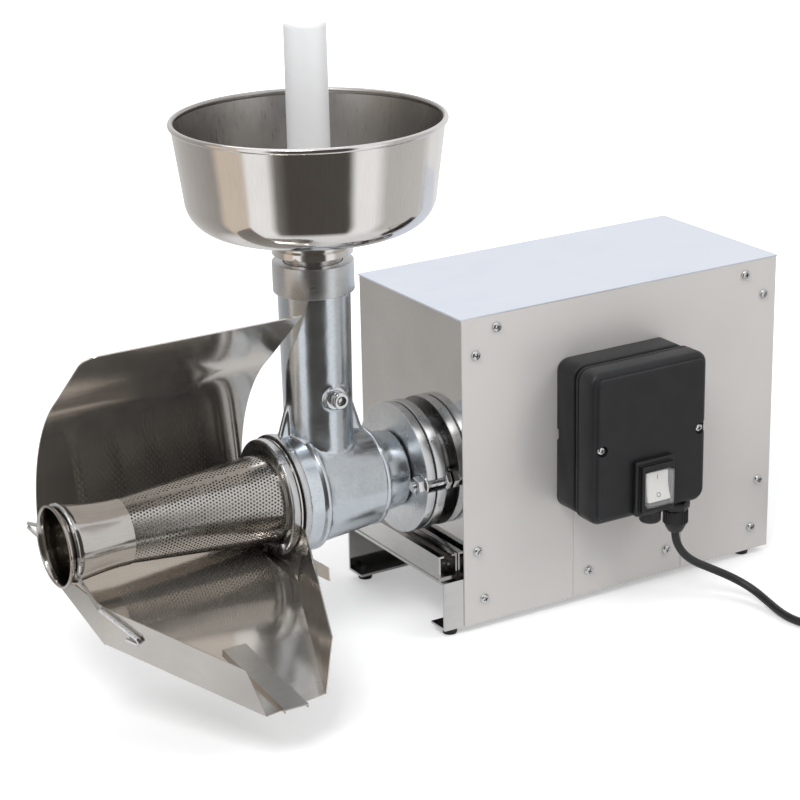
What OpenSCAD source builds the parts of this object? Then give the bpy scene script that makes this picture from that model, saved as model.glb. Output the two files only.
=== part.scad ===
// Electric tomato strainer: a polished sheet housing with motor and gearbox, a cast straining
// unit bolted to its end, a hopper on top and a drip tray with splash guard below the filter.
// +X runs along the straining axis toward the motor, -Y is the side with the switch, +Z is up.
// The origin lies on the surface that the feet stand on, below the middle of the machine.

/* [Housing] */
// Length of the housing along the straining axis
housing_l = 298; // [290:1:360]
// Width of the housing over its side panels
housing_w = 150; // [148:1:190]
// Height of the housing over its panels
housing_h = 250; // [240:1:300]
// Thickness of the polished sheets
sheet_t = 1.2; // [0.8:0.1:1.6]
// How far the top cover reaches past each end panel
top_overhang = 1.5; // [0:0.5:4]
// Height of the folded chassis
chassis_h = 40; // [34:1:46]
// Thickness of the chassis sheet
chassis_t = 2; // [1.5:0.1:3]
// Length of the chassis ledge in front of the end panel
ledge_l = 18; // [17:0.5:30]
// Width of the inward flanges of the chassis, the covers and the end panels
flange_w = 20; // [17:0.5:26]
// Height of the rubber feet
foot_h = 6; // [4:0.5:14]
// Diameter of the rubber feet
foot_d = 13; // [11:0.5:16]
// Width of the plate below the switch box
switch_plate_w = 106; // [96:1:110]
// Height of the plate below the switch box
switch_plate_h = 118; // [100:1:150]

/* [Straining axis] */
// Height of the straining axis above the panels' lower edge
axis_h = 117; // [112:1:130]
// Distance of the straining axis from the near side panel
axis_in = 66; // [64:0.5:80]
// Distance from the end panel to the lip of the outlet cup
reach = 310; // [300:1:330]

/* [Body] */
// Outer radius of the two coupling flanges
flange_r = 51.5; // [50:0.5:56]
// Thickness of the flange on the body
body_flange_t = 7.5; // [6:0.5:9]
// Radius of the body's bore
body_bore_r = 33.4; // [30:0.1:34]
// Radius of the body's front rim
rim_r = 46.5; // [45:0.5:50]
// Radius of the barrel at its rear edge
barrel_rear_r = 38; // [37:0.5:42]
// Distance of the feed tube from the end panel
feed_x = 87.5; // [82:0.5:94]
// Outer radius of the feed tube at its top
feed_r = 27.5; // [26.5:0.5:30]
// Height of the feed tube's collar above the straining axis
feed_h = 179; // [160:1:200]

/* [Filter] */
// Outer radius of the filter cone at its large end
cone_big_r = 34.5; // [33:0.5:36]
// Outer radius of the filter cone at its small end
cone_small_r = 24; // [22:0.5:27]
// Thickness of the perforated sheet
cone_t = 0.8; // [0.6:0.1:1.2]
// Length of the outlet cup
cup_l = 48; // [40:1:56]
// Outer radius of the cup's lip
cup_lip_r = 31; // [30:0.5:34]
// Thickness of the tray and splash guard
tray_t = 1; // [0.8:0.1:1.5]
// Distance of the tray's spout from the straining axis
spout_reach = 176; // [150:1:190]
// Slope of the tray's floor in degrees
tray_slope = 13.5; // [10:0.5:15]

/* [Hopper] */
// Radius of the hopper at its rolled rim
hopper_r = 100; // [90:1:110]
// Height of the hopper bowl
hopper_h = 81; // [70:1:95]
// Thickness of the hopper sheet
hopper_t = 1; // [0.8:0.1:1.5]
// Radius of the pestle at its foot
pestle_r = 16.5; // [14:0.5:18]
// Length of the pestle
pestle_l = 322; // [300:1:340]

/* [Drive] */
// Module of both gear pairs
gear_m = 1.5; // [1.4:0.05:1.55]
// Teeth of each pinion
pinion_n = 14; // [13:1:15]
// Teeth of each large gear
gear_n = 56; // [52:1:57]
// Radius of the output shaft
shaft_r = 10; // [9:0.5:10.5]
// Radius of the motor
motor_r = 60; // [56:0.5:61]
// Radial clearance of a shaft that turns in its bearing
run_fit = 0.05; // [0.02:0.01:0.08]

/* [Switch and cord] */
// Width of the switch box
switch_w = 104; // [96:1:110]
// Height of the switch box
switch_h = 122; // [110:1:130]
// Depth of the switch box
switch_d = 53; // [50:1:60]
// Distance of the switch box's middle from the strainer end of the housing
switch_x = 138; // [130:1:150]
// Diameter of the power cord
cord_d = 6.5; // [6:0.1:7.5]

/* [Hidden] */
$fn = 64;

// Main places in the machine's frame
hopper_bead_r = 2.2;
strip_out = 3;
end_x = (reach - housing_l - top_overhang) / 2;
axis_y = (spout_reach + strip_out - hopper_r - hopper_bead_r) / 2;
near_y = axis_y - axis_in;
far_y = near_y + housing_w;
axis_z = foot_h + axis_h;
deck_z = foot_h + chassis_h;
fit = 0.3;
slip = 0.2;

// Panel screws: distances from the panel's ends, its top and its lower edge
screw_r = 2;
screw_head_r = 4;
screw_head_h = 2.6;
screw_hole_r = 2.2;
screw_l = 6;
screw_top_x = 31;
screw_top_drop = 11;
screw_side_x = 12;
screw_side_drop = 30;
screw_low_z = 61;
screw_foot_x = 18;
screw_foot_z = chassis_h / 2;
plate_mid_x = 155;
plate_screw_dx = 38.5;
corner_screws = [[screw_top_x, housing_h - screw_top_drop], [screw_side_x, housing_h - screw_side_drop],
    [screw_side_x, screw_low_z], [screw_foot_x, screw_foot_z]];
side_screws = [for (p = corner_screws) each [p, [housing_l - p[0], p[1]]]];
plate_screws = [for (s = [-1, 1]) [plate_mid_x + s * plate_screw_dx, screw_foot_z]];

// Feet, rail and rivets
foot_in = 10;
foot_stem_r = 2.5;
foot_xs = [foot_in - ledge_l, housing_l - 19];
foot_ys = [foot_in, housing_w - foot_in];
rail_w = 16.5;
rail_h = 19;
rail_t = 1.5;
rail_slot = 7;
rail_gap = 0.5;
rail_in = 10;
rivet_ys = [32, housing_w - 32];
rivet_r = 2;

// Coupling: places along the axis from the end panel, negative toward the cup
drive_nose_l = 6;
drive_flange_t = 8;
gasket_t = 1.5;
drive_face = -drive_nose_l - drive_flange_t;
body_back = drive_face - gasket_t;
body_flange_x = body_back - body_flange_t;
nose_r = 37;
slot_w = 10;
slot_in = 38;
bolt_off = 45;
bolt_r = 4;
bolt_head_h = 5;
hex_r = 7.5;
nut_h = 6.5;

// Body and filter along the axis
barrel_back = -47;
body_front = -126;
ring_front = -136;
ring_back = -129.5;
cone_flange_t = 1;
ring_r = 44.6;
cone_small_x = cup_l - reach;
cup_lap = 6;
cone_big_x = -134;
cup_groove_x = 7 - reach;
neck_bore_r = 20;
bush_r = 14;

// Feed tube and hopper, heights above the straining axis
collar_h = 23;
collar_r = feed_r + 3;
feed_bore_r = 22.3;
feed_seat_h = 62;
feed_low_r = feed_r - 2;
throat_r = 20.5;
neck_tube_r = feed_bore_r - fit;
neck_tube_t = 1.2;
neck_ring_h = feed_h + 6;
bowl_h = feed_h + 26;
bowl_bottom_r = 93;
bowl_round = 25;
lock_h = 78;
lock_boss_r = 9;
lock_boss_l = 29;
lock_head_r = 6.5;
lock_head_h = 8;

// Auger
auger_gap = 0.9;
auger_core_r = 13;
auger_tip_r = 8;
auger_front = cup_l + cup_lap - reach;
auger_pitch = 32;
flight_back = -56;
flight_root_t = 5;
flight_tip_t = 2;
flight_steps = 16;
tang_w = 12;
tang_l = 16;
journal_front = barrel_back;
journal_back = -20;

// Gear train
pitch_r1 = gear_m * pinion_n / 2;
pitch_r2 = gear_m * gear_n / 2;
gear_span = pitch_r1 + pitch_r2;
idler_r = 6;
case_x = drive_nose_l;
case_l = 68;
case_wall = 5;
case_front = 6;
case_room = pitch_r2 + 3;
cover_t = 6;
motor_x = case_x + case_l + cover_t;
shield_t = 12;
shell_l = 120;
shell_t = 3;
core_l = 80;
rotor_r = 33;
motor_shaft_r = 7.5;
motor_bearing_r = 17.5;
motor_bearing_t = 10;
output_bearing_r = 21;
output_bearing_t = 10;
output_gear_x = 32;
gear_w = 14;
idler_pinion_x = 30;
idler_gear_x = 58;
idler_gear_w = 10;
motor_pinion_x = 56;

// Switch box
switch_z = 142;
switch_base_d = 29;
switch_wall = 2.5;
switch_round = 10;
lid_step = 3;
lid_screw_dx = 46;
lid_screw_l = 14;
lid_screw_r = 3.6;
rocker_z = 106;
frame_w = 37;
frame_h = 45;
frame_step_w = 30;
frame_step_h = 37;
frame_d = 5;
cap_w = 26;
cap_h = 29;
cap_d = 9;
cap_t = 1;
rocker_w = 20;
rocker_l = 23;
rocker_tilt = 8;
pin_r = 1.5;
gland_x = 172;
gland_in = 39.5;
gland_r = 10;
gland_hex_h = 7;
gland_nut_h = 19;
plug_hole_x = 147;

// Cord: route from the housing's lower near corner, standing surface at zero height
cord_r = cord_d / 2;
gland_low = foot_h + switch_z - switch_h / 2 - gland_hex_h - gland_nut_h;
cord_sides = 8;
cord_steps = 2;
coil_at = [380, -47];
plug_shift = [34, 20];
coil_r = 36;
coil_cols = 2;
coil_rows = 3;
coil_lift = 0.2;
cord_route = [[172, -39.5, gland_low], [173.2, -39.9, 52], [177.2, -41.2, 43.8], [182.9, -42.9, 37.1],
    [189.8, -45.2, 31.6], [197.3, -48.3, 27], [204.8, -52.2, 22.9], [211.5, -57.1, 19.2],
    [217.1, -62.8, 15.7], [221.2, -69.5, 12.5], [223.7, -77.1, 9.7], [224.6, -85.4, 7.3],
    [224.4, -94.2, 5.5], [223.7, -103.5, 4.2], [222.9, -112.9, 3.6], [222.9, -122.1, 3.4],
    [224.2, -131, 3.4], [227.1, -139, 3.4], [231.7, -145.8, 3.4], [238, -151.1, 3.5],
    [245.7, -154.7, 3.5], [254.5, -156.5, 3.5], [263.8, -156.6, 3.5], [273.4, -155.4, 3.5],
    [283, -153.3, 3.5], [292.3, -150.4, 3.5], [301.5, -147.1, 3.5], [310.4, -143.3, 3.5],
    [319.1, -139.1, 3.5], [327.6, -134.5, 3.5], [335.9, -129.6, 3.5], [344.1, -124.4, 3.5],
    [352.1, -119, 3.5], [359.9, -113.4, 3.5], [367.7, -107.6, 3.5], [375.3, -101.6, 3.5],
    [383, -95.6, 3.5], [390.7, -89.5, 3.5], [398.2, -83.3, 3.5], [405.2, -77.1, 3.45]];
plug_l = 46;
plug_w = 30;
plug_h = 16;
plug_pin_r = 2;
plug_pin_l = 19;
plug_pin_gap = 9.5;

// Tray section, lengths from the straining axis in Y and Z
tray_left = 10 - reach;
tray_right = ring_back + cone_flange_t;
scroll_r = 42;
scroll_at = [9, 4];
guard_r = 132;
guard_at = [scroll_at[0] + scroll_r - guard_r, scroll_at[1]];
guard_angle = 53;
guard_flange_l = 71;
guard_bend = 4;
left_wall_top = -27;
tray_bend_y = -60;
spout_left = 77 - reach;
spout_right = 127 - reach;
floor_right_back = -146;
floor_right_bend = -138;
right_bend_y = -50;
right_low = -52;
step_h = -18;
wire_r = 1.5;

// A plain frame at the housing's lower near corner of the strainer end
module from_corner(p = [0, 0, 0]) translate([end_x, near_y, foot_h] + p) children();

// A frame on the straining axis, its Z toward the motor
module on_axis(x = 0) translate([end_x + x, axis_y, axis_z]) rotate([0, 90, 0]) children();

// A frame on the idler's axis
module on_idler(x = 0) translate([0, 0, gear_span]) on_axis(x) children();

// A frame on the feed tube's axis at a height above the straining axis
module on_feed(h = 0) translate([end_x - feed_x, axis_y, axis_z + h]) children();

// A frame at the switch box's middle on the near panel, its Z outward
module on_switch(out = 0) from_corner([switch_x, -out, switch_z]) rotate([90, 0, 0]) children();

// An outline in Y and Z, extruded along X from x
module yz(x, len) translate([end_x + x, 0, 0]) rotate([90, 0, 90]) linear_extrude(len) children();

// An outline in X and Z, extruded along Y from y
module xz(y, len) translate([0, y + len, 0]) rotate([90, 0, 0]) linear_extrude(len) children();

// A ring along Z
module ring(outer, inner, h) difference() {
    cylinder(r = outer, h = h);
    translate([0, 0, -1]) cylinder(r = inner, h = h + 2);
}

// A rectangle with round corners about its middle
module round_rect(w, h, r) {
    square([w - 2 * r, h], center = true);
    square([w, h - 2 * r], center = true);
    for (sx = [-1, 1], sy = [-1, 1]) translate([sx * (w / 2 - r), sy * (h / 2 - r)]) circle(r);
}

// Points of an arc about a centre in a plane
function arc(c, r, a0, a1, n) = [for (i = [0 : n]) let (a = a0 + (a1 - a0) * i / n)
    c + r * [cos(a), sin(a)]];

function total(v, i = 0) = i == len(v) - 1 ? v[i] : v[i] + total(v, i + 1);
function normal_of(p) = let (k = len(p)) total([for (i = [0 : k - 1]) cross(p[i], p[(i + 1) % k])]);

// A flat sheet piece between its corners, its thickness along n
module facet(corners, n) {
    k = len(corners);
    c = normal_of(corners) * n > 0 ? corners : [for (i = [k - 1 : -1 : 0]) corners[i]];
    fans = [for (i = [1 : k - 2]) each [[0, i, i + 1], [k, k + i + 1, k + i]]];
    sides = [for (i = [0 : k - 1]) let (j = (i + 1) % k) each [[i, i + k, j + k], [i, j + k, j]]];
    polyhedron(concat(c, [for (p = c) p + n]), concat(fans, sides));
}

function unit(v) = v / norm(v);

// A smooth line through the route's points
function spline(a, b, c, d, t) = 0.5 * (2 * b + (c - a) * t + (2 * a - 5 * b + 4 * c - d) * t * t
    + (3 * b - a - 3 * c + d) * t * t * t);
function smooth(p, n) = [for (i = [0 : len(p) - 2], k = [0 : n - 1])
        spline(p[max(i - 1, 0)], p[i], p[i + 1], p[min(i + 2, len(p) - 1)], k / n), p[len(p) - 1]];
function tangents(p) = [for (i = [0 : len(p) - 1]) unit(p[min(i + 1, len(p) - 1)] - p[max(i - 1, 0)])];
function carried(t, i, n) = let (m = unit(n - (n * t[i]) * t[i])) i == len(t) - 1 ? [m] : concat([m],
    carried(t, i + 1, m));

module tube(points, r, start = [1, 0, 0]) {
    t = tangents(points);
    n = carried(t, 0, start);
    k = cord_sides;
    rings = [for (i = [0 : len(points) - 1]) let (b = cross(t[i], n[i]))
        each [for (j = [0 : k - 1]) points[i] + r * (cos(j * 360 / k) * n[i] + sin(j * 360 / k) * b)]];
    last = k * (len(points) - 1);
    sides = [for (i = [0 : len(points) - 2], j = [0 : k - 1]) let (a = i * k + j, b = i * k + (j + 1) % k)
        each [[a, b + k, b], [a, a + k, b + k]]];
    polyhedron(rings, concat([[for (j = [0 : k - 1]) j]], sides, [[for (j = [k - 1 : -1 : 0]) last + j]]));
}

// Housing

module chassis_section() difference() {
    translate([near_y + sheet_t, foot_h]) square([housing_w - 2 * sheet_t, chassis_h]);
    translate([near_y + sheet_t + chassis_t, foot_h + chassis_t])
        square([housing_w - 2 * (sheet_t + chassis_t), chassis_h - 2 * chassis_t]);
    translate([near_y + sheet_t + flange_w, foot_h - 1])
        square([housing_w - 2 * (sheet_t + flange_w), chassis_t + 2]);
}

module chassis() color("silver") difference() {
    yz(-ledge_l, ledge_l + housing_l - sheet_t) chassis_section();
    for (x = foot_xs, y = foot_ys) from_corner([x, y, -1]) cylinder(r = foot_stem_r, h = chassis_t + 2);
    for (y = rivet_ys) from_corner([-rail_gap - rail_w / 2, y, chassis_h - chassis_t - 1])
        cylinder(r = rivet_r, h = chassis_t + 2);
    for (p = concat(side_screws, plate_screws)) if (p[1] < chassis_h) from_corner([p[0], -1, p[1]])
        rotate([-90, 0, 0]) cylinder(r = screw_hole_r, h = housing_w + 2);
}

module rubber_feet() color([0.1, 0.1, 0.1]) for (x = foot_xs, y = foot_ys) from_corner([x, y, -foot_h]) {
    cylinder(r1 = foot_d / 2 - 1, r2 = foot_d / 2, h = foot_h);
    cylinder(r = foot_stem_r, h = foot_h + chassis_t);
    translate([0, 0, foot_h + chassis_t]) cylinder(r1 = foot_stem_r + 1.5, r2 = foot_stem_r, h = 2);
}

module cross_rail() color("gainsboro") difference() {
    xz(near_y + rail_in, housing_w - 2 * rail_in) translate([end_x - rail_gap - rail_w, deck_z])
        difference() {
        square([rail_w, rail_h]);
        translate([rail_t, rail_t]) square([rail_w - 2 * rail_t, rail_h - 2 * rail_t]);
        translate([(rail_w - rail_slot) / 2, rail_h - rail_t - 1]) square([rail_slot, rail_t + 2]);
    }
    for (y = rivet_ys) from_corner([-rail_gap - rail_w / 2, y, chassis_h - 1])
        cylinder(r = rivet_r, h = rail_t + 2);
}

module rail_rivets() color("silver") for (y = rivet_ys)
    from_corner([-rail_gap - rail_w / 2, y, chassis_h - chassis_t]) {
    cylinder(r = rivet_r, h = chassis_t + rail_t);
    translate([0, 0, chassis_t + rail_t]) cylinder(r1 = rivet_r * 1.9, r2 = rivet_r, h = 1.4);
    translate([0, 0, -1.6]) cylinder(r1 = rivet_r, r2 = rivet_r * 1.5, h = 1.6);
}

module panel_drills(points) for (p = points) from_corner([p[0], -1, p[1]])
    rotate([-90, 0, 0]) cylinder(r = screw_hole_r, h = housing_w + 2);

module side_sheet(y) xz(y, sheet_t) translate([end_x, foot_h]) square([housing_l, housing_h - sheet_t]);

module near_side_panel() color("whitesmoke") difference() {
    side_sheet(near_y);
    from_corner([plate_mid_x - switch_plate_w / 2 - fit, -1, -1])
        cube([switch_plate_w + 2 * fit, sheet_t + 2, switch_plate_h + fit + 1]);
    panel_drills(side_screws);
}

vent_n = 7;
vent_l = 50;
vent_w = 4;
vent_pitch = 12;

// A slot with round ends, upright in the plane
module vent_slot() {
    square([vent_w, vent_l - vent_w], center = true);
    for (s = [-1, 1]) translate([0, s * (vent_l - vent_w) / 2]) circle(vent_w / 2, $fn = 24);
}

module far_side_panel() color("whitesmoke") difference() {
    side_sheet(far_y - sheet_t);
    panel_drills(side_screws);
    for (i = [0 : vent_n - 1])
        from_corner([motor_x + shell_l / 2 + (i - (vent_n - 1) / 2) * vent_pitch, housing_w + 1, axis_h])
            rotate([90, 0, 0]) linear_extrude(sheet_t + 2) vent_slot();
}

module top_cover() color("white") difference() {
    union() {
        from_corner([-top_overhang, 0, housing_h - sheet_t])
            cube([housing_l + 2 * top_overhang, housing_w, sheet_t]);
        for (y = [sheet_t, housing_w - 2 * sheet_t])
            from_corner([flange_w + 2, y, housing_h - flange_w])
                cube([housing_l - 2 * flange_w - 4, sheet_t, flange_w]);
    }
    panel_drills(side_screws);
}

// An end sheet with its two side flanges turned inward by dir
module end_sheet(x, dir) difference() {
    union() {
        from_corner([x, sheet_t, chassis_h])
            cube([sheet_t, housing_w - 2 * sheet_t, housing_h - sheet_t - chassis_h]);
        for (y = [sheet_t, housing_w - 2 * sheet_t])
            from_corner([dir > 0 ? x : x + sheet_t - flange_w, y, chassis_h])
                cube([flange_w, sheet_t, housing_h - sheet_t - chassis_h]);
    }
    panel_drills(side_screws);
}

module strainer_end_panel() color("white") difference() {
    end_sheet(0, 1);
    on_axis(-1) cylinder(r = nose_r + fit, h = sheet_t + 2, $fn = 96);
}

module fan_end_panel() color("white") difference() {
    union() {
        end_sheet(housing_l - sheet_t, -1);
        from_corner([housing_l - sheet_t, sheet_t, 0]) cube([sheet_t, housing_w - 2 * sheet_t, chassis_h]);
    }
    for (i = [0 : vent_n - 1])
        from_corner([housing_l - sheet_t - 1, axis_in + (i - (vent_n - 1) / 2) * vent_pitch, axis_h])
            rotate([90, 0, 90]) linear_extrude(sheet_t + 2) vent_slot();
}

module switch_plate() color("whitesmoke") difference() {
    from_corner([plate_mid_x - switch_plate_w / 2, 0, 0]) cube([switch_plate_w, sheet_t, switch_plate_h]);
    panel_drills(plate_screws);
}

module pan_screw() {
    rotate_extrude($fn = 32) polygon([[0, 0], [screw_head_r, 0], [screw_head_r, 0.9],
        [screw_head_r * 0.8, screw_head_h * 0.75], [screw_head_r * 0.45, screw_head_h * 0.96],
            [0, screw_head_h]]);
    translate([0, 0, -screw_l]) cylinder(r = screw_r, h = screw_l, $fn = 24);
}

module panel_screws() color("silver") {
    for (p = concat(side_screws, plate_screws)) from_corner([p[0], 0, p[1]]) rotate([90, 0, 0]) pan_screw();
    for (p = side_screws) from_corner([p[0], housing_w, p[1]]) rotate([-90, 0, 0]) pan_screw();
}

// Gearbox and motor

function inv(a) = tan(a) * 180 / PI - a;

// One flank of an involute tooth, from root to tip, turned by side
function flank(n, side) = let (
    rp = gear_m * n / 2,
    rb = rp * cos(20),
    rt = rp + 0.9 * gear_m,
    rr = rp - 1.2 * gear_m,
    half = 90 / n * 0.93 + inv(20),
    radii = [rr, max(rb, rr + 0.1), (max(rb, rr) + rp) / 2, rp, (rp + rt) / 2, rt]
) [for (r = radii) let (a = side * (half - (r > rb ? inv(acos(rb / r)) : 0))) r * [cos(a), sin(a)]];

function turned(points, a) = [for (p = points) [p[0] * cos(a) - p[1] * sin(a),
    p[0] * sin(a) + p[1] * cos(a)]];

function reversed(points) = [for (i = [len(points) - 1 : -1 : 0]) points[i]];

// A spur gear about Z with a tooth on the X axis, turned by phase
module spur(n, w, phase) linear_extrude(w)
    polygon([for (i = [0 : n - 1]) each turned(concat(flank(n, -1), reversed(flank(n, 1))),
        phase + i * 360 / n)]);

// The outline round both gear axes
module case_outline(r) {
    circle(r, $fn = 96);
    translate([-gear_span, 0]) circle(r, $fn = 96);
    translate([-gear_span, -r]) square([gear_span, 2 * r]);
}

module gearbox_case() color("lightgray") difference() {
    union() {
        on_axis(case_x) linear_extrude(case_l) case_outline(case_room + case_wall);
        for (s = [-1, 1]) from_corner([case_x + 4, axis_in + s * 34 - 10, chassis_h])
            cube([case_l - 8, 20, axis_h - chassis_h - 20]);
    }
    difference() {
        on_axis(case_x + case_front) linear_extrude(case_l) case_outline(case_room);
        on_axis(case_x) cylinder(r = output_bearing_r + 5, h = case_front + 2 * output_bearing_t);
    }
    on_axis(case_x + case_front) cylinder(r = output_bearing_r, h = case_l);
    on_axis(case_x - 1) cylinder(r = shaft_r + 2, h = case_l);
}

module gearbox_cover() color("lightgray") difference() {
    on_axis(case_x + case_l) linear_extrude(cover_t) case_outline(case_room + case_wall);
    on_axis(case_x + case_l - 1) cylinder(r = 12, h = cover_t + 2);
    on_idler(case_x + case_l - 1) cylinder(r = idler_r, h = 5);
}

module idler_shaft() color("dimgray") {
    on_idler(case_x + case_front) cylinder(r = idler_r, h = case_l - case_front + 4);
    on_idler(case_x + case_front) cylinder(r = idler_r + 3, h = idler_pinion_x - case_x - case_front - slip);
    on_idler(idler_gear_x + idler_gear_w + slip) cylinder(r = idler_r + 3,
        h = case_x + case_l - idler_gear_x - idler_gear_w - slip);
}

module idler_gear() color("darkgray") difference() {
    union() {
        on_idler(idler_pinion_x) spur(pinion_n, idler_gear_x - idler_pinion_x, 0);
        on_idler(idler_gear_x) spur(gear_n, idler_gear_w, 0);
    }
    on_idler(idler_pinion_x - 1) cylinder(r = idler_r + run_fit, h = 60);
}

module output_gear() color("darkgray") difference() {
    on_axis(output_gear_x) spur(gear_n, gear_w, 180 / gear_n);
    on_axis(output_gear_x - 1) cylinder(r = shaft_r, h = gear_w + 2);
}

module output_shaft() color("silver") {
    on_axis(journal_back + 0.5) cylinder(r = shaft_r, h = output_gear_x + gear_w + 3 - journal_back);
    on_axis(journal_back - tang_l) translate([-tang_w / 2, -tang_w / 2]) cube([tang_w, tang_w, tang_l + 1]);
    on_axis(output_gear_x + gear_w) ring(shaft_r + 2, shaft_r - 1, 1.5);
}

module output_bearings() color("silver") for (i = [0, 1])
    on_axis(case_x + case_front + i * output_bearing_t) ring(output_bearing_r, shaft_r + run_fit,
        output_bearing_t - 0.5);

module shaft_seal() color([0.15, 0.15, 0.15]) on_axis(drive_face + 1) ring(16, shaft_r + run_fit, 6);

module motor_shell() color([0.35, 0.38, 0.42]) on_axis(motor_x + shield_t)
    ring(motor_r, motor_r - shell_t, shell_l);

module motor_stator() color("sienna") {
    on_axis(motor_x + shield_t + (shell_l - core_l) / 2) ring(motor_r - shell_t, rotor_r + 0.5, core_l);
    for (s = [-1, 1]) on_axis(motor_x + shield_t + shell_l / 2 + s * (core_l / 2 + 7) - 7)
        ring(motor_r - shell_t - 5, rotor_r + 5, 14);
}

module motor_front_shield() color("lightgray") difference() {
    on_axis(motor_x) cylinder(r = motor_r, h = shield_t);
    on_axis(motor_x - 1) cylinder(r = 12, h = shield_t);
    on_axis(motor_x + shield_t - motor_bearing_t) cylinder(r = motor_bearing_r, h = shield_t);
}

rear_shield_x = motor_x + shield_t + shell_l;

module motor_rear_shield() color("lightgray") difference() {
    on_axis(rear_shield_x) cylinder(r = motor_r, h = shield_t);
    on_axis(rear_shield_x - 1) cylinder(r = motor_bearing_r, h = motor_bearing_t + 1);
    on_axis(rear_shield_x) cylinder(r = 12, h = shield_t + 1);
}

module motor_bearings() color("silver") for (x = [motor_x + shield_t - motor_bearing_t, rear_shield_x])
    on_axis(x) ring(motor_bearing_r, motor_shaft_r + run_fit, motor_bearing_t);

fan_x = rear_shield_x + shield_t + 4;
fan_l = 16;
fan_r = 48;

module rotor() color("gray") {
    on_axis(motor_x + shield_t + (shell_l - core_l) / 2) cylinder(r = rotor_r, h = core_l);
    on_axis(motor_pinion_x) cylinder(r = motor_shaft_r, h = fan_x + fan_l + 2 - motor_pinion_x);
    on_axis(motor_pinion_x) spur(pinion_n, gear_w, 180 + 180 / pinion_n);
}

module cooling_fan() color([0.2, 0.2, 0.22]) difference() {
    on_axis(fan_x) {
        cylinder(r = 13, h = fan_l);
        cylinder(r = fan_r, h = 2);
        for (i = [0 : 7]) rotate(i * 45) translate([12, -1, 0]) cube([fan_r - 13, 2, fan_l]);
    }
    on_axis(fan_x - 1) cylinder(r = motor_shaft_r, h = fan_l + 2);
}

cap_can_r = 15;
cap_can_in = 20;
saddle_l = 80;
saddle_gap = 4;
strap_foot = 9;
saddle_w = 2 * (housing_w - axis_in - cap_can_in - cap_can_r - strap_foot - saddle_gap);

module motor_saddle() color("silver") difference() {
    from_corner([motor_x + shield_t + (shell_l - saddle_l) / 2, axis_in - saddle_w / 2, chassis_h])
        cube([saddle_l, saddle_w, axis_h - chassis_h - motor_r * 0.75]);
    on_axis(motor_x) cylinder(r = motor_r, h = shell_l + 20, $fn = 96);
}

cap_can_l = 66;
cap_strap_t = 1.2;
cap_can_x = motor_x + 40;

module on_capacitor(x = 0) from_corner([cap_can_x + x, housing_w - cap_can_in,
    chassis_h + cap_can_r + cap_strap_t])
    rotate([0, 90, 0]) children();

module run_capacitor() color("aliceblue") on_capacitor() {
    cylinder(r = cap_can_r, h = cap_can_l);
    translate([0, 0, cap_can_l]) cylinder(r = cap_can_r - 3, h = 3);
    for (s = [-1, 1]) translate([s * 5 - 1, -3, cap_can_l]) cube([1, 6, 12]);
}

module capacitor_strap() color("silver") {
    on_capacitor(cap_can_l / 2 - 8) ring(cap_can_r + cap_strap_t, cap_can_r, 16);
    from_corner([cap_can_x + cap_can_l / 2 - 8, housing_w - cap_can_in - cap_can_r - strap_foot, chassis_h])
        cube([16, cap_can_r + strap_foot, cap_strap_t * 0.8]);
}

// Coupling between the drive and the straining unit

module bolt_slots(x, len) for (s = [-1, 1]) translate([end_x + x, axis_y + s * (slot_in + 30),
    axis_z - slot_w / 2])
    translate([0, -30, 0]) cube([len, 60, slot_w]);

module drive_flange() color("gainsboro") difference() {
    union() {
        on_axis(drive_face) cylinder(r = flange_r, h = drive_flange_t, $fn = 96);
        on_axis(-drive_nose_l - 1) cylinder(r = nose_r, h = 2 * drive_nose_l + 1, $fn = 96);
    }
    on_axis(drive_face - 1) cylinder(r = shaft_r + 1, h = 30);
    on_axis(drive_face) cylinder(r = 16, h = 7);
    bolt_slots(drive_face - 1, drive_flange_t + 2);
}

module flange_gasket() color([0.1, 0.1, 0.1]) difference() {
    on_axis(body_back) ring(flange_r - 1, 24, gasket_t);
    bolt_slots(body_back - 1, gasket_t + 2);
}

module clamp_bolts() color("silver") for (s = [-1, 1]) translate([0, s * bolt_off, 0]) {
    on_axis(-drive_nose_l) cylinder(r = hex_r, h = bolt_head_h, $fn = 6);
    on_axis(body_flange_x - nut_h - 4)
        cylinder(r = bolt_r, h = -drive_nose_l - body_flange_x + nut_h + 4, $fn = 24);
}

module clamp_nuts() color("silver") for (s = [-1, 1]) translate([0, s * bolt_off, 0]) difference() {
    union() {
        on_axis(body_flange_x - 1.5) cylinder(r = hex_r + 0.8, h = 1.5, $fn = 32);
        on_axis(body_flange_x - 1.5 - nut_h) cylinder(r = hex_r, h = nut_h, $fn = 6);
    }
    on_axis(body_flange_x - nut_h - 3) cylinder(r = bolt_r, h = nut_h + 4, $fn = 24);
}

// Straining unit

body_line = [[rim_r - 0.8, body_front], [rim_r, body_front + 0.8], [rim_r, body_front + 5],
    [rim_r - 1.2, body_front + 6], [rim_r - 1.2, body_front + 17], [rim_r + 0.4, body_front + 19],
    [rim_r + 0.4, body_front + 22], [rim_r - 3, body_front + 24], [barrel_rear_r + 0.8, barrel_back - 4],
    [barrel_rear_r + 0.8, barrel_back - 1], [barrel_rear_r, barrel_back], [nose_r - 5, barrel_back + 2],
    [nose_r - 6, body_flange_x - 8], [nose_r - 7.5, body_flange_x - 5], [nose_r - 7.5, body_flange_x - 1],
    [nose_r - 6.5, body_flange_x], [flange_r, body_flange_x], [flange_r, body_back]];

// A gusset rib between the feed tube and the barrel, toward side
module gusset(side) translate([end_x - feed_x, axis_y, axis_z]) rotate([90, 0, 0])
    linear_extrude(5, center = true)
    polygon([[side * (feed_low_r - 1), 72], [side * (feed_low_r + 10), 36], [side * (feed_low_r - 1), 36]]);

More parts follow.
